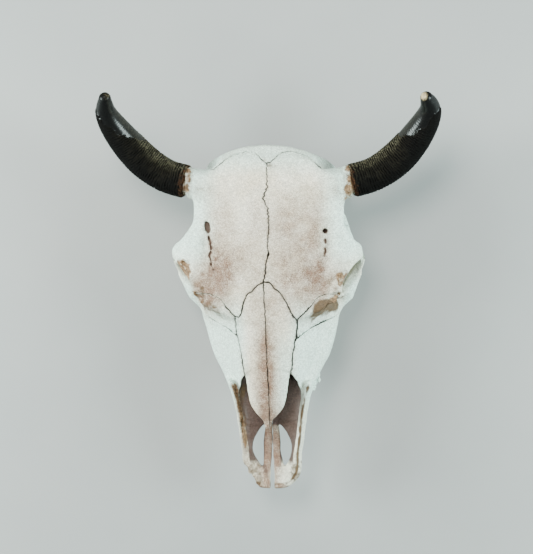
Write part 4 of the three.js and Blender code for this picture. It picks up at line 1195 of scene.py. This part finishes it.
def hornMaterial():
    material, tree, shader, at, read = startMaterial("ringedHorn")
    along, worn, groove, inner = read("along"), read("worn"), read("groove"), read("inner")
    drawn = wire(tree, "ShaderNodeCombineXYZ", {0: along * 8.0, 1: cloud(at, 26.0, 2.0) * 1.4})
    streaks = cloud(drawn, 160.0, 5.0, 0.7)
    fibres = cloud(at, 520.0, 5.0, 0.75)
    patch = spread(cloud(at, 42.0, 4.0, 0.6), 0.36, 0.66)
    # painted highlight over real fibre streaks: lighter on the ring crests and the upper inner side, darker
    # in the ring grooves
    high = spread(groove + fibres * 0.5, -0.35, 0.3)
    upper = spread(inner + patch * 0.5, -0.1, 1.15, 0.03, 1.0)
    lit = high * spread(streaks, 0.3, 0.7) * upper
    colour = tint(lit, hornLook["dark"], hornLook["fibreAndHighlight"])
    # pale dust and fibre tufts with a painted highlight, only on the inner side
    dustAndHighlightShare = spread(inner, 0.5, 1.0) * lit * spread(fibres, 0.4, 0.65, 0.05, 0.9)
    colour = tint(dustAndHighlightShare, colour, hornLook["dustAndHighlight"])
    colour = tint(worn * 0.85, colour, hornLook["gloss"])
    crust = along + (cloud(at, 190.0, 5.0, 0.7) - 0.5) * 0.03
    base = spread(crust, 0.0, 0.006, 1.0, 0.0)
    colour = tint(base * spread(fibres, 0.35, 0.6), colour, hornLook["rust"])
    point = spread(read("pale") + (fibres - 0.5) * 1.8, 0.25, 1.15)
    colour = tint(point, colour, hornLook["tip"])
    rough = spread(fibres, 0.2, 0.8, *hornLook["roughness"])
    height = (fibres + streaks) * spread(worn, 0.0, 1.0, 1.0, 0.22)
    finishMaterial(tree, shader, colour, rough, height, hornLook["relief"])
    glossy = worn * spread(read("blunt"), 0.0, 1.0, 1.0, 0.1)
    glossy = glossy * spread(streaks, 0.35, 0.6, 0.12, 0.6)
    tree.links.new(glossy.socket, shader.inputs["Coat Weight"])
    shader.inputs["Coat Roughness"].default_value = hornLook["coatRoughness"]
    shader.inputs["Specular IOR Level"].default_value = hornLook["specular"]
    return material


print("horns")
sheathTree, hornFinish = sheathGroup(), hornMaterial()
for side, word in sides:
    spine, girth, along, total = hornSpine(side)
    path = bpy.data.meshes.new("spine")
    path.from_pydata(toWorld(spine).tolist(), [(k, k + 1) for k in range(len(spine) - 1)], [])
    for key, data in (("girth", girth), ("along", along)):
        path.attributes.new(key, "FLOAT", "POINT").data.foreach_set("value", (data * mm).astype(np.float32))
    piece = grown(addObject("spine", path), sheathTree, {
        "Sides": horn["sides"], "Ring Spacing": horn["ringSpacing"] * mm,
        "Ring Depth": horn["ringDepth"] * mm, "Layer Depth": horn["layerDepth"] * mm,
        "Layer End": horn["layerEnd"] * mm,
        "Inner Side": (-0.6 * side, 0.75, 0.3), "Pale Side": (-0.75 * side, 0.1, 0.65),
        "Tip Start": total * mm - 0.004, "Tip Paleness": horn["tipPaleness"][side],
        "Seed": horn["seed"][side], "Finish": hornFinish,
    }, "hornSheath" + word.capitalize())
    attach(piece, "root")
    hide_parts("horn_sheath_" + word)
    printSize(piece)

# Cheek teeth of each side: middle along the row, length, width, lobes, biting end.
cheekTeeth = [
    (-131, 16, 14, 1, -137), (-113, 18, 17, 1, -145), (-94, 18, 20, 1, -153),
    (-71.5, 25, 23, 2, -164), (-43.5, 29, 25, 2, -176), (-12.5, 31, 25, 2, -178),
]
toothLook = {
    "cell": 0.8,
    "enamel": (0.62, 0.55, 0.42, 1),
    "dentine": (0.24, 0.15, 0.085, 1),
    "tartar": (0.10, 0.07, 0.045, 1),
    "roughness": (0.3, 0.6),
    "relief": 0.0003,  # metres
}


def toothField(u, v, z, size, width, lobes, end, root):
    # u runs along the row, v across it, outer side positive
    half, wide = size / 2 - 0.4, width / 2 - 0.3
    nearest = np.abs(u) - size / 4 if lobes == 2 else u
    span = size / 4 if lobes == 2 else half
    waist = (0.86 + 0.14 * np.minimum(np.abs(u) / (0.2 * size), 1)) if lobes == 2 else 1.0
    ribs = 0.7 * np.cos(nearest / span * math.pi * 1.5) * ramp(v, 0, wide)
    plan = ((np.abs(u) / half) ** 3.2 + (np.abs(v) / (wide * waist + ribs)) ** 3.2) ** (1 / 3.2)
    shell = (plan - 1) * wide
    shell = shell + 0.06 * np.maximum(end + 12 - z, 0) * ramp(-v, -wide, wide)
    ring = np.hypot(nearest / span, v / wide)
    bent = v + 0.25 * wide * (nearest / span) ** 2 * np.sign(v)
    fossa = np.hypot(nearest / span * 1.1, bent / wide * 0.8)
    dip = 1.6 * bump(fossa, 0, 0.3) + 0.9 * bump(ring, 0.66, 0.16) - 0.5 * bump(fossa, 0.38, 0.1)
    top = end + dip + 0.9 * np.cos(u / size * math.pi * 2 * lobes) * ramp(v, -wide, wide)
    shape = overlap(shell, np.maximum(top - z, z - root), 0.8)
    return shape, bump(fossa, 0.4, 0.13) + ramp(shell, -1.4, -0.5)


def toothMaterial():
    material, tree, shader, at, read = startMaterial("oldTooth")
    given = {"Position": at, "Pore Scale": 900.0, "Pore Share": 0.3, "Mottle Scale": 160.0}
    grain = placeGroup(tree, porous, given)
    colour = tint(read("enamel"), toothLook["dentine"], toothLook["enamel"])
    dirt = placeGroup(tree, grimeAndShade, {"Position": at, "Mask": read("tartar"), "Scale": 260.0})["Dirt And Shade"]
    colour = tint(dirt * 0.8, colour, toothLook["tartar"])
    colour = tint(grain["Mottle"] * 0.3, colour, toothLook["dentine"])
    rough = spread(grain["Mottle"], 0.0, 1.0, *toothLook["roughness"])
    finishMaterial(tree, shader, colour, rough, grain["Height"], toothLook["relief"])
    return material


print("teeth")
toothFinish = toothMaterial()
step = toothLook["cell"]
for side, word in sides:
    allVerts, allQuads, enamels, tartars, base = [], [], [], [], 0
    for middle, size, width, lobes, end in cheekTeeth:
        across = marginX(middle) - width / 2 - 1
        root = marginZ(middle) + 9
        u = np.arange(-size / 2 - 2, size / 2 + 2, step)[:, None, None]
        v = np.arange(-width / 2 - 2, width / 2 + 2, step)[None, :, None]
        z = np.arange(end - 3, root + 2, step)[None, None, :]
        shape, enamel = toothField(u, v, z, size, width, lobes, end, root)
        shape = np.maximum(shape, restLevel(middle + u) - z)
        start = (u[0, 0, 0], v[0, 0, 0], z[0, 0, 0])
        verts, quads = surfaceNet(shape, start, step)
        cellOf = ((verts - start) / step).astype(int)
        enamel = np.broadcast_to(enamel, shape.shape)
        enamels.append(enamel[tuple(cellOf.T)])
        tartars.append(ramp(verts[:, 2], end + 6, root - 4) * 0.8 + 0.2)
        verts = np.stack([side * (across + verts[:, 1]), middle + verts[:, 0], verts[:, 2]], 1)
        if side > 0:
            quads = quads[:, ::-1]
        allVerts.append(verts)
        allQuads.append(quads + base)
        base += len(verts)
    verts = np.concatenate(allVerts)
    quads = np.concatenate(allQuads)
    verts = verts + vertexNormals(verts, quads) * (0.15 * roughness(*verts.T, 3, 4))[:, None]
    verts[:, 2] = np.maximum(verts[:, 2], restLevel(verts[:, 1]))
    piece = makeMesh("teeth" + word.capitalize(), verts, quads, toothFinish, {
        "enamel": np.clip(np.concatenate(enamels), 0, 1), "tartar": np.concatenate(tartars),
    })
    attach(piece, "root")
    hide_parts("maxilla_" + word)
    printSize(piece)

print("floor, light and camera")
floorLook = {
    "half": 4.0,  # half width, metres
    "dark": (0.27, 0.278, 0.278, 1),
    "pale": (0.295, 0.30, 0.297, 1),
    "roughness": (0.85, 0.9),
    "relief": 0.0001,  # metres
}


def floorMaterial():
    material, tree, shader, at, _ = startMaterial("palePaper")
    mottle = spread(cloud(at, 3.0, 4.0), 0.3, 0.7)
    colour = tint(mottle, floorLook["dark"], floorLook["pale"])
    rough = spread(mottle, 0.0, 1.0, *floorLook["roughness"])
    finishMaterial(tree, shader, colour, rough, mottle, floorLook["relief"])
    return material


floorMesh = bpy.data.meshes.new("floor")
half = floorLook["half"]
corners = [(-half, -half, 0), (half, -half, 0), (half, half, 0), (-half, half, 0)]
floorMesh.from_pydata(corners, [], [(0, 1, 2, 3)])
floorMesh.materials.append(floorMaterial())
floor = addObject("floor", floorMesh)

# what the lamps aim at, and the light all around
room = {"aim": (0, 0.03, 0.1), "colour": (0.80, 0.84, 0.85, 1), "strength": 0.22}
studio = {
    # place in metres, size, watts, colour
    "key": ((-0.3, 0.9, 2.3), 0.8, 64, (1.0, 0.95, 0.885)),
    "sideLeft": ((-1.6, 0.15, 0.95), 1.0, 104, (0.86, 1.0, 0.965)),
    "sideRight": ((1.6, 0.1, 0.95), 1.0, 92, (0.82, 1.0, 0.975)),
}
for name, (spot, size, power, colour) in studio.items():
    lamp = bpy.data.lights.new(name, "AREA")
    lamp.shape = "DISK"
    lamp.size, lamp.energy, lamp.color = size, power, colour
    aim = Vector(room["aim"]) - Vector(spot)
    turn = aim.to_track_quat("-Z", "Y").to_matrix().to_4x4()
    addObject(name, lamp).matrix_world = Matrix.Translation(spot) @ turn
world = bpy.data.worlds.new("room")
world.use_nodes = True
background = world.node_tree.nodes["Background"]
background.inputs["Color"].default_value = room["colour"]
background.inputs["Strength"].default_value = room["strength"]
bpy.context.scene.world = world

# The camera stands square above the forehead, swung a little towards +x.
view = {"yaw": 5.0, "distance": 1.9, "aside": -0.0007, "pixel": 0.0014, "rows": 554, "sensor": 24}
lens = bpy.data.cameras.new("camera")
lens.sensor_fit = "VERTICAL"
lens.sensor_height = view["sensor"]
lens.lens = view["sensor"] * view["distance"] / (view["pixel"] * view["rows"])
lens.clip_end = 30
camera = addObject("camera", lens)
camera.matrix_world = (
    Matrix.Translation(restPlace.translation)
    @ Matrix.Rotation(-restTilt, 4, "X")
    @ Matrix.Rotation(math.radians(view["yaw"]), 4, "Y")
    @ Matrix.Translation((view["aside"], 0, view["distance"]))
)
bpy.context.scene.camera = camera
